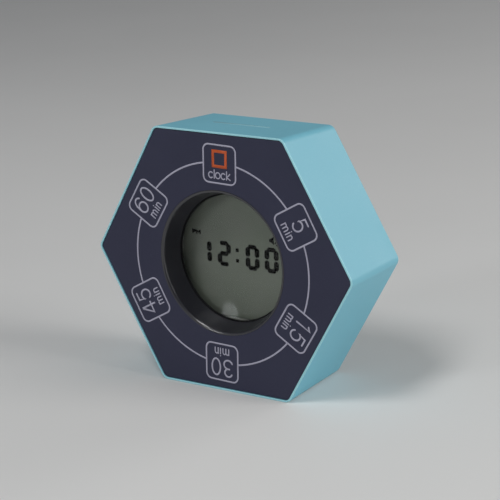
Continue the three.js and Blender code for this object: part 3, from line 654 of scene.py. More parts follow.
def makeShell(look):
    fit = look["fit"]
    radius = look["cornerRadius"]
    rebate = benchBox("bezel_ring")[1].z - 2.3
    levels = [(look["rearRound"] * (1 - math.cos(a)), look["rearRound"] * (1 - math.sin(a)))
              for a in [i * math.pi / 12 for i in range(7)]]
    rim = look["rimRound"]
    top = caseDepth
    levels += [(top - rim, 0), (top - 0.45 * rim, 0.14 * rim), (top - 0.12 * rim, 0.45 * rim), (top, rim)]
    wall = look["rimWall"]
    levels += [(top, wall - rim * 0.6), (top - 0.18 * rim, wall - 0.18 * rim), (top - 0.6 * rim, wall)]
    levels += [(rebate, wall), (rebate, look["sideWall"]), (look["backWall"] + 0.6, look["sideWall"])]
    levels += [(look["backWall"], look["sideWall"] + 0.6)]
    rings = []
    for z, inset in levels:
        ring = hexOutline(z, inset, max(radius - inset, look["innerCorner"]))
        rings.append([(x, y, z) for x, y in ring])
    shell = loft("caseShell", rings, paints["case_plastic"])
    # The rim's front faces get the lighter copy of the case paint: a painted highlight
    shell.data.materials.append(paints["case_rim_highlight"])
    for face in shell.data.polygons:
        if face.center.z > (top - rim) * mm:
            face.material_index = 1

    inside, bayTop = look["backWall"] - 0.5, look["bayTop"]
    doorLow, doorHigh = benchBox("battery_door")
    doorBottom = doorLow.y + look["tabReach"]
    doorSize = (doorHigh.x - doorLow.x, doorHigh.y - doorBottom)
    doorMiddle = (doorBottom + doorHigh.y) / 2
    bay = look["bay"]
    bayFrame = [side + 2 * look["bayFrame"] for side in doorSize]
    buzzer = benchMiddle("buzzer")
    caseScrews = [benchMiddle(f"case_screw_{i + 1}") for i in range(4)]
    keyScrews = [benchMiddle(f"key_board_screw_{i + 1}") for i in range(2)]
    boxScrews = [benchMiddle(f"box_screw_{i + 1}") for i in range(2)]
    added = []
    for places, (width, high), steps in ((caseScrews, look["caseBoss"], 48), (keyScrews, look["keyBoss"], 32),
                                         (boxScrews, (look["boxBoss"], bayTop), 32)):
        added += [cutter(circle(width, place.x, place.y, steps), inside, high) for place in places]
    added.append(cutter(rounded(box2d(*bayFrame, 0, doorMiddle), 2), inside, bayTop))
    wallRadius, wallTop = look["buzzerWall"]
    added.append(cutter(circle(wallRadius, buzzer.x, buzzer.y, 64), inside, wallTop))
    combine(shell, added, "UNION")

    hole = (doorSize[0] + 2 * fit, doorSize[1] + 2 * fit)
    knobLow, knobHigh = benchBox("sound_switch_knob")
    travel = joints["sound_slide"]["range_m"][1] / mm
    slot = (knobHigh.x - knobLow.x + travel + look["slotGap"], knobHigh.y - knobLow.y + look["slotGap"])
    recessAcross, recessUp, recessDepth = look["switchRecess"]
    recess = (slot[0] + recessAcross, slot[1] + recessUp)
    slotPlace = ((knobLow.x + knobHigh.x + travel) / 2, (knobLow.y + knobHigh.y) / 2)
    cuts = [
        cutter(rounded(box2d(*bay, 0, doorMiddle), 1), -1, bayTop + 1),
        cutter(rounded(box2d(*hole, 0, doorMiddle), look["doorCorner"] + fit), -1, look["doorLedge"]),
        cutter(circle(look["buzzerSeat"], buzzer.x, buzzer.y, 64), look["backWall"], 8),
        cutter(circle(look["scoopRadius"], 0, doorHigh.y + 0.5, 64), -1, look["scoopDepth"]),
        cutter(rounded(box2d(*slot, *slotPlace), 0.5), -1, look["backWall"] + 1),
        cutter(rounded(box2d(*recess, *slotPlace), 1.5), -1, recessDepth),
    ]
    for key in ("set_button", "up_button", "down_button"):
        place = benchMiddle(key)
        cuts.append(cutter(circle(look["keyHole"], place.x, place.y, 64), -1, look["backWall"] + 1))
    bores = ((caseScrews, look["screwWell"][0], 48, -1, look["screwWell"][1]),
             (caseScrews, look["screwBore"][0], 24, -1, look["screwBore"][1]),
             (keyScrews, look["smallBore"], 24, look["backWall"], 8),
             (boxScrews, look["smallBore"], 24, 0.9, 4))
    for places, width, steps, low, high in bores:
        cuts += [cutter(circle(width, place.x, place.y, steps), low, high) for place in places]
    for i in range(7):
        reach = 0 if i == 0 else look["soundHoleReach"]
        x, y = reach * math.cos(i * math.pi / 3), buzzer.y + reach * math.sin(i * math.pi / 3)
        cuts.append(cutter(circle(look["soundHole"], x, y, 24), -1, look["backWall"] + 0.5))
    combine(shell, cuts, "DIFFERENCE")
    tabs = []
    top = doorMiddle - bay[1] / 2 + 0.2
    bottom = doorMiddle - hole[1] / 2
    below = bottom - look["tabReach"] - 1
    for x in (-look["tabX"], look["tabX"]):
        inner = box2d(look["tabSlot"], top - below, x, (top + below) / 2)
        outer = box2d(look["tabSlot"], top - bottom + 0.05, x, (top + bottom) / 2)
        tabs.append(cutter(inner, look["backWall"], bayTop + 1))
        tabs.append(cutter(outer, look["doorLedge"] - 0.2, 2.4))
    combine(shell, tabs, "DIFFERENCE")
    soften(shell, look["edge"], 2, 40)
    return settle(shell, "case", "case_plastic", "shell")


makeShell(caseLook)
print("case: shell, with bay, key holes and screw wells")


# Face plate and its print

plateLook = {
    "inset": 0.72,
    "cornerRadius": 2.08,
    "thickness": 2.0,
    "frontRound": 0.25,
    "hole": 23.5,
    "edge": 0.1,
    "casePost": (3.2, 12.8),  # radius and rear end
    "boardPost": (2.4, 16.5),
    "caseBore": (1.6, 11, 21.3),  # radius, rear and front
    "boardBore": (1.0, 14, 23.2),
}


def makeFacePlate(look):
    plateFront = benchBox("front_plate")[1].z
    plateRear = plateFront - look["thickness"]
    rings = []
    steps = [(plateRear, 0.0), (plateFront - look["frontRound"], 0.0)]
    for i in range(1, 5):
        angle = i * math.pi / 8
        lift = look["frontRound"] * (1 - math.sin(angle))
        steps.append((plateFront - lift, look["frontRound"] * (1 - math.cos(angle))))
    for z, inset in steps:
        ring = hexOutline(z, look["inset"] + inset, look["cornerRadius"])
        rings.append([(x, y, z) for x, y in ring])
    plate = loft("facePlate", rings, paints["face_plastic"])
    posts = []
    bores = [cutter(circle(look["hole"], steps=160), plateRear - 1, plateFront + 1)]
    for i in range(4):
        for kind, steps in (("case", 48), ("board", 32)):
            place = benchMiddle(f"{kind}_screw_{i + 1}")
            postRadius, postRear = look[f"{kind}Post"]
            boreRadius, boreRear, boreFront = look[f"{kind}Bore"]
            posts.append(cutter(circle(postRadius, place.x, place.y, steps), postRear, plateRear + 0.5))
            bores.append(cutter(circle(boreRadius, place.x, place.y, 24), boreRear, boreFront))
    combine(plate, posts, "UNION")
    combine(plate, bores, "DIFFERENCE")
    soften(plate, look["edge"], 2, 50)
    settle(plate, "case", "face_plastic", "front_plate")
    return plateFront


plateFront = makeFacePlate(plateLook)

printLook = {
    "ringRadius": 32.75,
    "ringLine": 0.55,
    "cardReach": 32.3,
    "cardSize": 12.65,
    "cardCorner": 2.2,
    "cardLine": 0.53,
    "numberLine": 0.57,
    "numberUp": 1.8,
    "numberPitch": 4.6,
    "wordLine": 0.40,
    "wordUp": -3.68,
    "squareSize": 5.70,
    "squareLine": 0.93,
    "squareUp": 1.65,
    "inkHeight": 0.03,
    "turn": -1.4,
    "shift": (-0.15, -0.45),
    "cards": {90: "clock", 30: "5", -30: "15", -90: "30", -150: "45", 150: "60"},
}

# Each figure is a list of lines, drawn about its own middle
figures = {
    "0": [("loop", arc(0, 0, 1.58, 2.74, 0, 360, 40)[:-1])],
    "1": [("line", [(-1.05, 1.62), (-0.5, 2.05), (0.0, 2.70), (0.02, -2.74)])],
    "3": [("line", arc(-0.08, 1.45, 1.36, 1.29, 160, -90, 20) + [(-0.5, 0.16)]),
          ("line", [(-0.45, 0.16)] + arc(-0.05, -1.29, 1.62, 1.45, 90, -158, 22))],
    "4": [("line", [(0.95, -2.74), (0.95, 2.62), (0.72, 2.62), (-1.75, -1.2), (1.9, -1.2)])],
    "5": [("line", [(1.45, 2.6), (-0.85, 2.6), (-1.25, -0.02)] + arc(-0.02, -0.92, 1.62, 1.82, 140, -148, 26))],
    "6": [("line", arc(0.12, 0.2, 1.70, 2.54, 42, 180, 16) + arc(0.02, -0.95, 1.60, 1.79, 184, 520, 30))],
}


def archLetter(x, width, top, base):
    # The bend and right leg of an n, springing from a stem at x
    rise = width * 0.62
    return [(x, top - rise)] + arc(x + width / 2, top - rise, width / 2, rise, 165, 0, 10) + [(x + width, base)]


def wordStrokes(word, top=0.94, base=-0.94):
    def stem(x, high=top):
        return "line", [(x, high), (x, base)]

    if word == "min":
        return [
            stem(-2.62), ("line", archLetter(-2.62, 1.12, top, base)),
            ("line", archLetter(-1.50, 1.12, top, base)),
            stem(0.58), ("line", [(0.58, 1.60), (0.58, 1.64)]),
            stem(1.46), ("line", archLetter(1.46, 1.18, top, base)),
        ]
    return [
        ("line", arc(-3.26, 0, 0.82, top, 48, 312, 18)),
        stem(-1.96, 1.66),
        ("loop", arc(-0.62, 0, 0.88, top, 0, 360, 28)[:-1]),
        ("line", arc(1.46, 0, 0.82, top, 48, 312, 18)),
        stem(2.70, 1.66), ("line", [(3.92, top), (2.78, -0.14), (4.02, base)]),
    ]


def printFace(look):
    rear = plateFront + 0.002
    strokes = []
    turn = Matrix.Rotation(math.radians(look["turn"]), 2)

    def laid(path):
        # The whole print sits a touch off true on the plate
        return [tuple(turn @ Vector(point) + Vector(look["shift"])) for point in path]

    def ink(kind, path, width, height):
        return stroke(laid(path), width, rear, rear + height, whiteInk, closed=kind == "loop", lower=0.006)

    halfGap = math.degrees(math.asin((look["cardSize"] / 2 - look["cardLine"] / 2) / look["ringRadius"]))
    for angle in look["cards"]:
        path = arc(0, 0, look["ringRadius"], look["ringRadius"], angle + halfGap, angle + 60 - halfGap, 48)
        strokes.append(ink("line", path, look["ringLine"], look["inkHeight"] - 0.012))
    squares = []
    for angle, mark in look["cards"].items():
        radial = Vector((math.cos(math.radians(angle)), math.sin(math.radians(angle))))
        across = Vector((radial.y, -radial.x))

        def placed(path, x=0.0, y=0.0):
            return [tuple(across * (px + x) + radial * (look["cardReach"] + py + y)) for px, py in path]

        side = look["cardSize"] - look["cardLine"]
        card = rounded(box2d(side, side), look["cardCorner"] - look["cardLine"] / 2, 8)
        strokes.append(ink("loop", placed(card), look["cardLine"], look["inkHeight"]))
        height = look["inkHeight"]
        word = "clock" if mark == "clock" else "min"
        if mark == "clock":
            side = look["squareSize"] - look["squareLine"]
            square = laid(placed(box2d(side, side), 0, look["squareUp"]))
            squares.append(stroke(square, look["squareLine"], rear, rear + height, orangeInk, closed=True))
        else:
            shift = -look["numberPitch"] / 2 * (len(mark) - 1)
            for digit in mark:
                for kind, path in figures[digit]:
                    height -= 0.0015
                    strokes.append(ink(kind, placed(path, shift, look["numberUp"]), look["numberLine"], height))
                shift += look["numberPitch"] * (0.92 if digit == "1" else 1)
        for kind, path in wordStrokes(word):
            height -= 0.0015
            strokes.append(ink(kind, placed(path, 0, look["wordUp"]), look["wordLine"], height))
    settle(joined("facePrint", strokes), "case", "face_plastic")
    settle(joined("clockSquare", squares), "case", "face_plastic")


printFace(printLook)
print("face: plate, ring of cards and their figures")


# Display well: ring, gasket, lens and glass

wellLook = {
    "steps": 160,
    "lipRound": 0.95,
    "lipDrop": 1.0,
    "foot": 21.0,
    "lip": 23.46,
    "gasketInner": 20.5,
    "lensSweep": 2.6,
    "lensRise": 0.5,
    "seatGap": 0.2,
    "flangeThickness": 1.6,
}


def makeWell(look):
    low, high = benchBox("bezel_ring")
    gasketLow, gasketHigh = benchBox("lens_gasket")
    lensLow, lensHigh = benchBox("lens")
    flange, front, rear = high.x, high.z, low.z
    flangeFront = plateFront - plateLook["thickness"] - caseLook["fit"]
    flangeRear = flangeFront - look["flangeThickness"]
    lensSeat = lensHigh.x + look["seatGap"]
    seatTop = gasketHigh.z + look["seatGap"]
    footZ = gasketHigh.z + 0.6
    drop = look["lipDrop"]
    roll = arc(look["lip"] - 0.12, front - drop, look["lipRound"], drop + 0.03, 90, 172, 10)
    profile = [
        (look["foot"], seatTop),
        (lensSeat, seatTop),
        (lensSeat, rear),
        (lensSeat + 1.0, rear),
        (lensSeat + 2.3, flangeRear),
        (flange - 0.15, flangeRear),
        (flange, flangeRear + 0.15),
        (flange, flangeFront - 0.15),
        (flange - 0.15, flangeFront),
        (look["lip"], flangeFront),
        (look["lip"], front - 0.03),
        (look["lip"] - 0.03, front + 0.015),
        *roll,
        (look["foot"] + 0.08, footZ + 0.22),
        (look["foot"] + 0.02, footZ + 0.08),
    ]
    ring = lathe("displayWell", profile, paints["gloss_plastic"], steps=look["steps"])
    ring.data.materials.append(paints["well_cone"])
    for face in ring.data.polygons:
        middle = face.center / mm
        if math.hypot(middle.x, middle.y) < look["lip"] - look["lipRound"] and footZ < middle.z < front - 0.8:
            face.material_index = 1
    ring.data.set_sharp_from_angle(angle=math.radians(42))
    soften(ring, 0)
    settle(ring, "case", "gloss_plastic", "bezel_ring")

    inner, outer = look["gasketInner"], gasketHigh.x
    rows = [(inner + 0.12, gasketLow.z), (outer, gasketLow.z), (outer, gasketHigh.z)]
    rows += fillet(inner + 0.2, gasketHigh.z - 0.2, 0.2, 90, 180, 5)
    gasket = lathe("lensGasket", rows, paints["black_foam"], steps=look["steps"])
    soften(gasket, 0)
    settle(gasket, "case", "black_foam", "lens_gasket")

    # The window is flat in the middle and sweeps up to a bead that holds the gasket
    radius = lensHigh.x
    bead = inner - 0.2
    flat = bead - look["lensSweep"]
    rows = [(0, lensLow.z), (radius - 0.1, lensLow.z), (radius, lensLow.z + 0.1), (radius, lensHigh.z - 0.1)]
    rows += [(radius - 0.1, lensHigh.z), (bead + 0.1, lensHigh.z)]
    rows += [(bead + 0.1, lensHigh.z + look["lensRise"] - 0.1)]
    rows += fillet(bead, lensHigh.z + look["lensRise"] - 0.1, 0.1, 0, 90, 4)
    for i in range(1, 13):
        share = 1 - i / 12
        rows.append((flat + (bead - flat) * share, lensHigh.z + look["lensRise"] * share ** 2))
    rows.append((0, lensHigh.z))
    lens = lathe("clearLens", rows, paints["clear_plastic"], steps=look["steps"], closed=False)
    settle(lens, "case", "clear_plastic", "lens")


makeWell(wellLook)

glassLook = {
    "corner": 0.4,
    "edge": 0.12,
    "digitHeight": 8.35,
    "digitWidth": 5.3,
    "uprightBar": 1.80,
    "levelBar": 1.46,
    "gap": 0.30,
    "up": 0.02,
    "colon": -0.86,
    "places": {-13.5: "1", -5.95: "2", 4.95: "0", 12.2: "0"},
    "dot": 1.2,
    "dotRise": 1.75,
    "inkHeight": 0.04,
    "dayPlace": (-16.6, 6.05),
    "soundPlace": (13.2, 6.5),
}
# Segments lit in each digit: top, upper right, lower right, bottom, lower left, upper left, middle
litSegments = {"0": "abcdef", "1": "bc", "2": "abged"}


def segmentShape(name, look):
    # Blunt pointed bars, laid along the edges of the digit's box
    upright = name in "bcef"
    half = (look["uprightBar"] if upright else look["levelBar"]) / 2
    right = (look["digitWidth"] - look["uprightBar"]) / 2
    top = (look["digitHeight"] - look["levelBar"]) / 2
    ends = {
        "a": ((-right, top), (right, top)), "g": ((-right, 0), (right, 0)),
        "d": ((-right, -top), (right, -top)),
        "b": ((right, 0), (right, top)), "c": ((right, -top), (right, 0)),
        "f": ((-right, 0), (-right, top)), "e": ((-right, -top), (-right, 0)),
    }[name]
    start, end = Vector(ends[0]), Vector(ends[1])
    along = (end - start).normalized()
    side = Vector((-along.y, along.x)) * half
    tip = along * look["gap"] * 0.6
    body = along * (look["gap"] * 0.6 + half * 0.62)
    blunt = side * 0.45
    shape = [start + tip - blunt, start + body - side, end - body - side, end - tip - blunt,
             end - tip + blunt, end - body + side, start + body + side, start + tip + blunt]
    return [tuple(point) for point in shape]


def makeGlass(look):
    for node, name, paint in (("lcd_front_glass", "displayFrontGlass", paints["coated_glass"]),
                              ("lcd_rear_glass", "displayRearGlass", paints["display_glass"])):
        low, high = benchBox(node)
        outline = rounded(box2d(high.x - low.x, high.y - low.y), look["corner"], 4)
        sheet = slab(name, outline, low.z, high.z, paint)
        soften(sheet, look["edge"], 2, 40)
        settle(sheet, "case", "display_glass", node)
    rear = benchBox("lcd_rear_glass")[1].z + 0.01
    front = rear + look["inkHeight"]
    lit = []
    for place, digit in look["places"].items():
        for name in "abcdefg":
            shape = [(x + place, y + look["up"]) for x, y in segmentShape(name, look)]
            if name in litSegments[digit]:
                lit.append(slab("segment", shape, rear, front, segmentInk))
    for side in (-1, 1):
        place = (look["colon"], look["up"] + side * look["dotRise"])
        dot = rounded(box2d(look["dot"], look["dot"], *place), 0.2, 3)
        lit.append(slab("segment", dot, rear, front, segmentInk))
    lit += dayMark(*look["dayPlace"], rear, front)
    lit += soundMark(*look["soundPlace"], rear, front)
    settle(joined("litSegments", lit), "case", "display_glass")


def dayMark(x, y, rear, front):
    # "PM", small and plain
    lines = [
        [(-1.45, -0.5), (-1.45, 0.5), (-0.75, 0.5), (-0.45, 0.25), (-0.75, 0.0), (-1.3, 0.0)],
        [(0.1, -0.5), (0.1, 0.5), (0.75, -0.1), (1.4, 0.5), (1.4, -0.5)],
    ]
    return [stroke([(px + x, py + y) for px, py in line], 0.55, rear, front, segmentInk) for line in lines]


def soundMark(x, y, rear, front):
    # Loudspeaker with two waves: the sound is on
    horn = [(-1.7, -0.55), (-1.1, -0.55), (0.0, -1.35), (0.0, 1.35), (-1.1, 0.55), (-1.7, 0.55)]
    marks = [slab("horn", [(px + x, py + y) for px, py in horn], rear, front, segmentInk)]
    for reach in (0.9, 1.75):
        wave = arc(x, y, reach, reach, -54, 54, 8)
        marks.append(stroke(wave, 0.44, rear, front, segmentInk))
    return marks


makeGlass(glassLook)
print("display: well, lens, glass and segments")


# Tone-on-tone bar on the top flat

topLook = {"length": 21.8, "width": 1.5, "offset": -1.2, "height": 0.035}


def makeTopMark(look):
    top = mounts["top_flat"]
    normal = Vector(top["axis"]).normalized()
    back = normal.cross(rightward)
    outline = rounded(box2d(look["length"], look["width"], look["offset"], 0), look["width"] / 2 - 0.01, 8)
    mark = slab("topMark", outline, 0.003, look["height"], toneInk)
    place = Matrix((rightward, back, normal)).transposed().to_4x4()
    mark.matrix_world = Matrix.Translation(Vector(top["pos_m"])) @ place
    settle(mark, "case", "case_plastic")


makeTopMark(topLook)


# Battery door

doorLook = {
    "thickness": 1.6,
    "corner": 2.0,
    "tabReach": 1.8,
    "tabX": 14.0,
    "tabWidth": 6.0,
    "latchWidth": 11.0,
    "latchDepth": 6.0,
    "slit": 0.6,
    "grooves": 3,
    "groovePitch": 1.2,
    "edge": 0.14,
}


def makeDoor(look):
    low, high = benchBox("battery_door")
    bottom = low.y + look["tabReach"]
    size = (high.x - low.x, high.y - bottom)
    centre = (bottom + high.y) / 2
    outline = rounded(box2d(*size, 0, centre), look["corner"], 8)
    door = slab("batteryDoor", outline, 0, look["thickness"], paints["case_plastic"])
    tabs = []
    for x in (-look["tabX"], look["tabX"]):
        root = box2d(look["tabWidth"], 1.1, x, bottom + 0.85 - 0.02)
        tabs.append(cutter(root, look["thickness"] - 0.5, high.z))
        reach = look["tabReach"] + 0.8
        tabs.append(cutter(box2d(look["tabWidth"], reach, x, bottom - look["tabReach"] / 2 + 0.4), 2.5, high.z))
    for tab in tabs:
        combine(door, [tab], "UNION")
    cuts = []
    for side in (-1, 1):
        x = side * look["latchWidth"] / 2
        y = high.y - look["latchDepth"] / 2 + 0.5
        cuts.append(cutter(box2d(look["slit"], look["latchDepth"] + 1, x, y), -1, look["thickness"] + 1))
    for i in range(look["grooves"]):
        y = high.y - 1.6 - i * look["groovePitch"]
        cuts.append(cutter(box2d(look["latchWidth"] - 4, 0.5, 0, y), -1, 0.35))
    combine(door, cuts, "DIFFERENCE")
    soften(door, look["edge"], 3, 40)
    settle(door, "battery_cover", "case_plastic", "battery_door")


makeDoor(doorLook)


# Keys and the sound switch

keyLook = {"radius": 3.8, "flange": 4.8, "flangeThickness": 0.8, "dish": 0.32, "round": 0.3,
           "arrow": ((-1.05, -0.65), (1.05, -0.65), (0, 1.1))}


def makeKeys(look):
    for name in ("set", "up", "down"):
        low, high = benchBox(f"{name}_button")
        place = (low + high) / 2
        rear, front = low.z, high.z
        rows = [((look["radius"] - 0.9) * i / 8, rear + look["dish"] * (1 - (i / 8) ** 2)) for i in range(9)]
        rows += [(look["radius"] - look["round"] - 0.1, rear + 0.01)]
        rows += fillet(look["radius"] - look["round"], rear + look["round"], look["round"], -90, 0, 6)
        rows += [(look["radius"], front - look["flangeThickness"])]
        rows += [(look["flange"] - 0.1, front - look["flangeThickness"])]
        rows += [(look["flange"], front - look["flangeThickness"] + 0.1), (look["flange"], front), (0, front)]
        key = lathe(f"{name}Key", rows, paints["key_plastic"], place.x, place.y, steps=72, closed=False)
        key.data.set_sharp_from_angle(angle=math.radians(40))
        soften(key, 0)
        settle(key, f"{name}_key", "key_plastic", f"{name}_button")
        shapes = {
            "set": circle(0.95, place.x, place.y, 36),
            "up": [(place.x + x, place.y + y) for x, y in look["arrow"]],
            "down": [(place.x - x, place.y - y) for x, y in look["arrow"]],
        }
        top = rear + look["dish"] * 0.55
        mark = stroke(shapes[name], 0.4, top, rear + look["dish"] + 0.1, keyInk, closed=True)
        mark.name = f"{name}Mark"
        mark.data.name = f"{name}Mark"
        settle(mark, f"{name}_key", "key_plastic")


makeKeys(keyLook)

knobLook = {"ridges": 4, "ridgeWidth": 0.34, "edge": 0.12, "depth": 0.35}


def makeSoundKnob(look):
    low, high = benchBox("sound_switch_knob")
    centre = (low + high) / 2
    size = (high.x - low.x, high.y - low.y)
    knob = slab("soundKnob", rounded(box2d(*size, centre.x, centre.y), 0.3, 4), low.z, high.z,
                paints["black_plastic"])
    cuts = []
    for i in range(look["ridges"] - 1):
        x = centre.x + (i - (look["ridges"] - 2) / 2) * size[0] / look["ridges"]
        groove = box2d(look["ridgeWidth"], size[1] + 2, x, centre.y)
        cuts.append(cutter(groove, low.z - 1, low.z + look["depth"]))
    combine(knob, cuts, "DIFFERENCE")
    soften(knob, look["edge"], 2, 40)
    settle(knob, "sound_knob", "black_plastic", "sound_switch_knob")


makeSoundKnob(knobLook)
print("back: door, three keys and the sound switch")


# Cells and contacts

cellLook = {
    "sleeve": 0.08,
    "bandShare": 0.3,
    "nub": 1.9,
    "mark": 2.4,
    "dark": {"colour": (0.020, 0.022, 0.026), "tint": (0.030, 0.032, 0.038), "roughness": (0.22, 0.3),
             "grainDepth": 0.002, "coat": 0.5},
    "band": {"colour": (0.46, 0.20, 0.045), "tint": (0.54, 0.25, 0.06), "roughness": (0.24, 0.32),
             "grainDepth": 0.002, "metal": 0.6, "coat": 0.4},
}
sleevePaint = surface("cellSleeveDark", cellLook["dark"])
bandPaint = surface("cellSleeveBand", cellLook["band"])
markPaint = surface("cellMark", {"colour": (0.66, 0.66, 0.66), "tint": (0.72, 0.72, 0.72),
                                 "roughness": (0.4, 0.5), "grainDepth": 0.002})


def makeCells(look):
    for name, tip in (("cell_1", 1), ("cell_2", -1)):
        low, high = benchBox(name)
        radius = (high.z - low.z) / 2
        length = high.x - low.x
        centre = (low + high) / 2
        # Lathed along Z from the flat end, then laid along X with the nub to its side
        lay = Matrix.Rotation(tip * math.pi / 2, 4, "Y")
        lay.translation = Vector((low.x if tip > 0 else high.x, centre.y, centre.z)) * mm
        skin = look["sleeve"]
        body = length - 1.0
        can = [(0, 0.12), (radius - 1.5, 0.12), (radius - 1.2, 0), (radius - 0.7, 0)]
        can += fillet(radius - 0.45 - skin, 0.4, 0.4, -90, 0, 5)
        can += [(radius - skin, body - 0.5)]
        can += fillet(radius - 0.5 - skin, body - 0.5, 0.45, 0, 90, 5)
        can += [(look["nub"] + 0.9, body - 0.25), (look["nub"] + 0.25, body - 0.22)]
        can += [(look["nub"], body - 0.05), (look["nub"], length - 0.25)]
        can += fillet(look["nub"] - 0.25, length - 0.25, 0.25, 0, 90, 5)
        can += [(0, length)]
        metal = lathe(f"{name}Can", can, paints["cell_sleeve"], closed=False, steps=64)
        split = body * look["bandShare"]
        wraps = []
        for part, start, end, paint in (("Wrap", 0.3, body - split, sleevePaint),
                                        ("Band", body - split + 0.02, body - 0.25, bandPaint)):
            inner = radius - skin
            rows = [(inner - 0.02, start), (radius - 0.02, start), (radius, start + 0.08),
                    (radius, end - 0.08), (radius - 0.02, end), (inner - 0.02, end)]
            wraps.append(lathe(f"{name}{part}", rows, paint, steps=64))
        for piece in [metal, *wraps]:
            piece.data.set_sharp_from_angle(angle=math.radians(40))
            piece.matrix_world = bench @ lay
        settle(metal, "case", "cell_sleeve", name)
        for piece in wraps:
            settle(piece, "case", "cell_sleeve")
        # The polarity signs, towards the bay's opening
        top = -radius - 0.03
        size = look["mark"] / 2
        plusX = centre.x + tip * (length / 2 - split - 3)
        minusX = centre.x - tip * (length / 2 - 4)
        signs = [stroke([(plusX - size, centre.y), (plusX + size, centre.y)], 0.5,
                        centre.z + top, centre.z + top + 0.5, markPaint),
                 stroke([(plusX, centre.y - size), (plusX, centre.y + size)], 0.5,
                        centre.z + top + 0.01, centre.z + top + 0.9, markPaint),
                 stroke([(minusX, centre.y - size), (minusX, centre.y + size)], 0.5,
                        centre.z + top, centre.z + top + 0.9, markPaint)]
        settle(joined(f"{name}Signs", signs), "case", "cell_sleeve")


makeCells(cellLook)

contactLook = {
    "boxWall": 1.2,
    "thickness": 0.4,
    "height": 7.8,
    "raise": 0.7,
    "overhang": 4.5,
    "edge": 0.1,
    "turns": 4,
    "foot": 3.6,
    "tip": 2.3,
    "wire": 0.35,
    "length": 4.7,
}


def makeContact(name, node, side, rows, bumpRows, springRows):
    # A nickelled plate with a pressed dimple for the nub and a tapered spring for the flat end
    look = contactLook
    cellMiddle = benchMiddle("cell_1")
    boxSide = benchBox("battery_box")[1].x - look["boxWall"]
    inside = side * (boxSide - caseLook["fit"] - look["thickness"])
    plateX = inside + side * look["thickness"] / 2
    width = max(rows) - min(rows) + 2 * look["overhang"]
    centre = ((max(rows) + min(rows)) / 2, cellMiddle.z + look["raise"])
    plate = slab(name, rounded(box2d(width, look["height"], *centre), 0.8, 5),
                 -look["thickness"] / 2, look["thickness"] / 2, paints["spring_steel"])
    stand = Matrix(((0, 0, 1, plateX * mm), (1, 0, 0, 0), (0, 1, 0, 0), (0, 0, 0, 1)))
    plate.matrix_world = bench @ stand
    bumps = []
    for y in bumpRows:
        profile = [(0, 0.28), (0.7, 0.26), (1.1, 0.14), (1.5, 0.0), (1.5, -0.1), (0, -0.1)]
        bump = lathe("dimple", profile, paints["spring_steel"], closed=False, steps=32)
        face = Matrix.Rotation(-side * math.pi / 2, 4, "Y")
        face.translation = Vector((inside, y, cellMiddle.z)) * mm
        bump.matrix_world = bench @ face
        bumps.append(bump)
    soften(plate, look["edge"], 2, 40)
    settle(plate, "case", "spring_steel", node)
    for i, bump in enumerate(bumps):
        bump.name = f"{name}Dimple{i + 1}"
        settle(bump, "case", "spring_steel")
    for i, y in enumerate(springRows):
        curve = bpy.data.curves.new(f"{name}Spring", "CURVE")
        curve.dimensions = "3D"
        curve.bevel_depth = look["wire"] * mm
        curve.bevel_resolution = 4
        curve.use_fill_caps = True
        line = curve.splines.new("POLY")
        steps = look["turns"] * 28
        line.points.add(steps)
        run = look["length"] - 2 * look["wire"]
        for step in range(steps + 1):
            share = step / steps
            # The end turns lie flat against the plate and the cell
            climb = min(max((share - 0.12) / 0.76, 0), 1)
            radius = look["foot"] + (look["tip"] - look["foot"]) * share
            angle = share * look["turns"] * 2 * math.pi
            x = inside - side * (look["wire"] + climb * run)
            place = Vector((x, y + radius * math.cos(angle), cellMiddle.z + radius * math.sin(angle)))
            line.points[step].co = (*(place * mm), 1)
        spring = bpy.data.objects.new(f"{name}Spring", curve)
        scene.collection.objects.link(spring)
        curve.materials.append(paints["spring_steel"])
        spring.matrix_world = bench
        settle(spring, "case", "spring_steel")


upperRow, lowerRow = benchMiddle("cell_1").y, benchMiddle("cell_2").y
makeContact("bridgeContact", "bridge_contact", -1, [upperRow, lowerRow], [lowerRow], [upperRow])
makeContact("negativeContact", "negative_contact", 1, [lowerRow], [], [lowerRow])
makeContact("positiveContact", "positive_contact", 1, [upperRow], [upperRow], [])


# Case screws

screwLook = {"head": 2.6, "headHeight": 1.7, "thread": 1.4, "pitch": 0.9, "cross": 0.62, "crossDepth": 0.95}


def makeCaseScrews(look):
    low, high = benchBox("case_screw_1")
    top = low.z
    head = look["head"]
    rows = [(0, top + 0.05), (head * 0.45, top + 0.02), (head * 0.72, top + 0.12), (head * 0.9, top + 0.4),
            (head, top + 0.85), (head, top + look["headHeight"])]
    rows += [(look["thread"] - 0.25, top + look["headHeight"])]
    z = top + look["headHeight"] + 0.3
    while z < high.z - 1.6:
        rows += [(look["thread"] - 0.3, z), (look["thread"], z + 0.4 * look["pitch"]),
                 (look["thread"] - 0.3, z + 0.8 * look["pitch"])]
        z += look["pitch"]
    rows += [(look["thread"] - 0.3, high.z - 1.3), (0.2, high.z - 0.05), (0, high.z)]
    for i in range(4):
        place = benchMiddle(f"case_screw_{i + 1}")
        screw = lathe(f"caseScrew{i + 1}", rows, paints["screw_steel"], place.x, place.y, 40, False)
        reach = head * 1.15
        cross = [cutter(box2d(look["cross"], reach, place.x, place.y), top - 1, top + look["crossDepth"]),
                 cutter(box2d(reach, look["cross"], place.x, place.y), top - 1, top + look["crossDepth"])]
        combine(screw, cross, "DIFFERENCE")
        soften(screw, 0.05, 2, 50)
        settle(screw, "case", "screw_steel", f"case_screw_{i + 1}")


makeCaseScrews(screwLook)
print("power: cells, contacts and springs; four case screws")


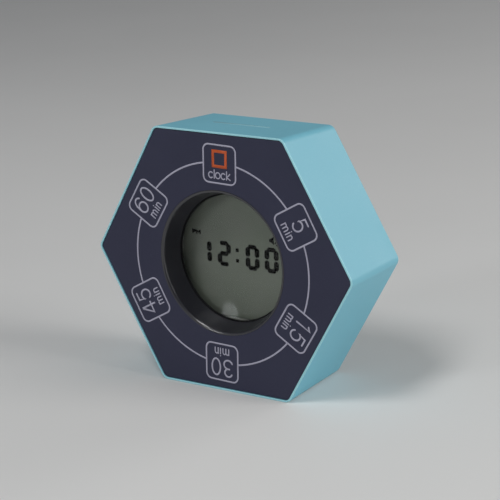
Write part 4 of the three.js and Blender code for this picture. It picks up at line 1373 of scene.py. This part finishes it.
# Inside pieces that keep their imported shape

kept = {
    "white_plastic": ["display_frame", "lcd_reflector"],
    "strip_rubber": ["zebra_strip_top", "zebra_strip_bottom"],
    "circuit_board": ["main_board", "key_board"],
    "black_plastic": ["controller_chip", "tilt_sensor", "battery_box", "buzzer", "set_switch", "up_switch",
                      "down_switch", "set_plunger", "up_plunger", "down_plunger"],
    "can_metal": ["capacitor", "crystal_can", "sound_switch_body"],
    "red_wire": ["positive_lead", "buzzer_lead_left"],
    "black_wire": ["negative_lead", "buzzer_lead_right"],
    "grey_wire": ["ribbon_cable"],
    "screw_steel": [f"board_screw_{i + 1}" for i in range(4)]
                   + [f"{name}_screw_{i + 1}" for name in ("key_board", "box") for i in range(2)],
}
for slotName, nodes in kept.items():
    for node in nodes:
        piece = frame["nodes"][node]
        piece.data.materials.clear()
        piece.data.materials.append(paints[slotName])
        soften(piece, 0.08, 2, 35)
print(f"inside: {sum(len(nodes) for nodes in kept.values())} packed pieces finished")


# Floor, lights and camera

studio = {
    "floorRadius": 4.0,
    "floor": {"colour": (0.74, 0.74, 0.73), "tint": (0.78, 0.78, 0.77), "roughness": (0.55, 0.65),
              "mottleScale": 3, "grainScale": 400, "grainDepth": 0.02, "waveDepth": 0.0, "shine": 0.3},
    "world": (0.80, 0.83, 0.88),
    "worldStrength": 0.16,
    "lights": [
        # name, place, aim, size, watts, colour
        ("rightKey", (0.84, 0.14, 0.56), (0.0, 0.0, 0.045), 0.50, 3.8, (1.0, 0.985, 0.96)),
        ("backSheen", (0.52, 0.96, 0.34), (0.0, 0.0, 0.045), 0.60, 2.3, (1.0, 0.97, 0.95)),
        ("lowFill", (0.86, -0.20, 0.16), (0.0, 0.0, 0.03), 0.50, 0.7, (1.0, 1.0, 0.98)),
        ("topFill", (-0.12, -0.45, 0.95), (0.0, 0.0, 0.04), 0.32, 3.3, (1.0, 1.0, 1.0)),
        ("frontFill", (-0.54, -1.00, 0.41), (0.0, 0.0, 0.04), 0.24, 1.9, (0.96, 0.98, 1.0)),
    ],
    "lens": 132.31,
    "aim": (0.00035, 0.00213, 0.04202),
    "azimuth": 35.01,
    "elevation": 16.90,
    "distance": 0.58792,
    "roll": 3.13,
}


def makeStudio(look):
    points = [(x, y, 0.0) for x, y in circle(look["floorRadius"] / mm, steps=96)]
    floor = newObject("studioFloor", points, [tuple(range(len(points)))], surface("paleFloor", look["floor"]))
    floor.matrix_world = Matrix.Identity(4)
    world = bpy.data.worlds.new("studioAir")
    world.use_nodes = True
    world.node_tree.nodes["Background"].inputs["Color"].default_value = (*look["world"], 1)
    world.node_tree.nodes["Background"].inputs["Strength"].default_value = look["worldStrength"]
    scene.world = world
    for name, place, aim, size, watts, colour in look["lights"]:
        lamp = bpy.data.lights.new(name, "AREA")
        lamp.shape = "DISK"
        lamp.size = size
        lamp.energy = watts
        lamp.color = colour
        stand = bpy.data.objects.new(name, lamp)
        scene.collection.objects.link(stand)
        stand.location = place
        stand.rotation_euler = (Vector(aim) - Vector(place)).to_track_quat("-Z", "Y").to_euler()
    scene.view_settings.view_transform = "Standard"


def makeCamera(look):
    around, above = math.radians(look["azimuth"]), math.radians(look["elevation"])
    back = Vector((math.sin(around) * math.cos(above), -math.cos(around) * math.cos(above), math.sin(above)))
    level = (-back).cross(Vector((0, 0, 1))).normalized()
    lift = level.cross(-back)
    roll = math.radians(look["roll"])
    right = level * math.cos(roll) - lift * math.sin(roll)
    up = right.cross(-back)
    lens = bpy.data.cameras.new("frontView")
    lens.lens = look["lens"]
    lens.sensor_width = 36
    lens.clip_start = 0.01
    camera = bpy.data.objects.new("frontView", lens)
    scene.collection.objects.link(camera)
    stand = Matrix((right, up, back)).transposed().to_4x4()
    stand.translation = Vector(look["aim"]) + back * look["distance"]
    camera.matrix_world = stand
    scene.camera = camera


makeStudio(studio)
makeCamera(studio)
print("studio: floor, lights and camera")
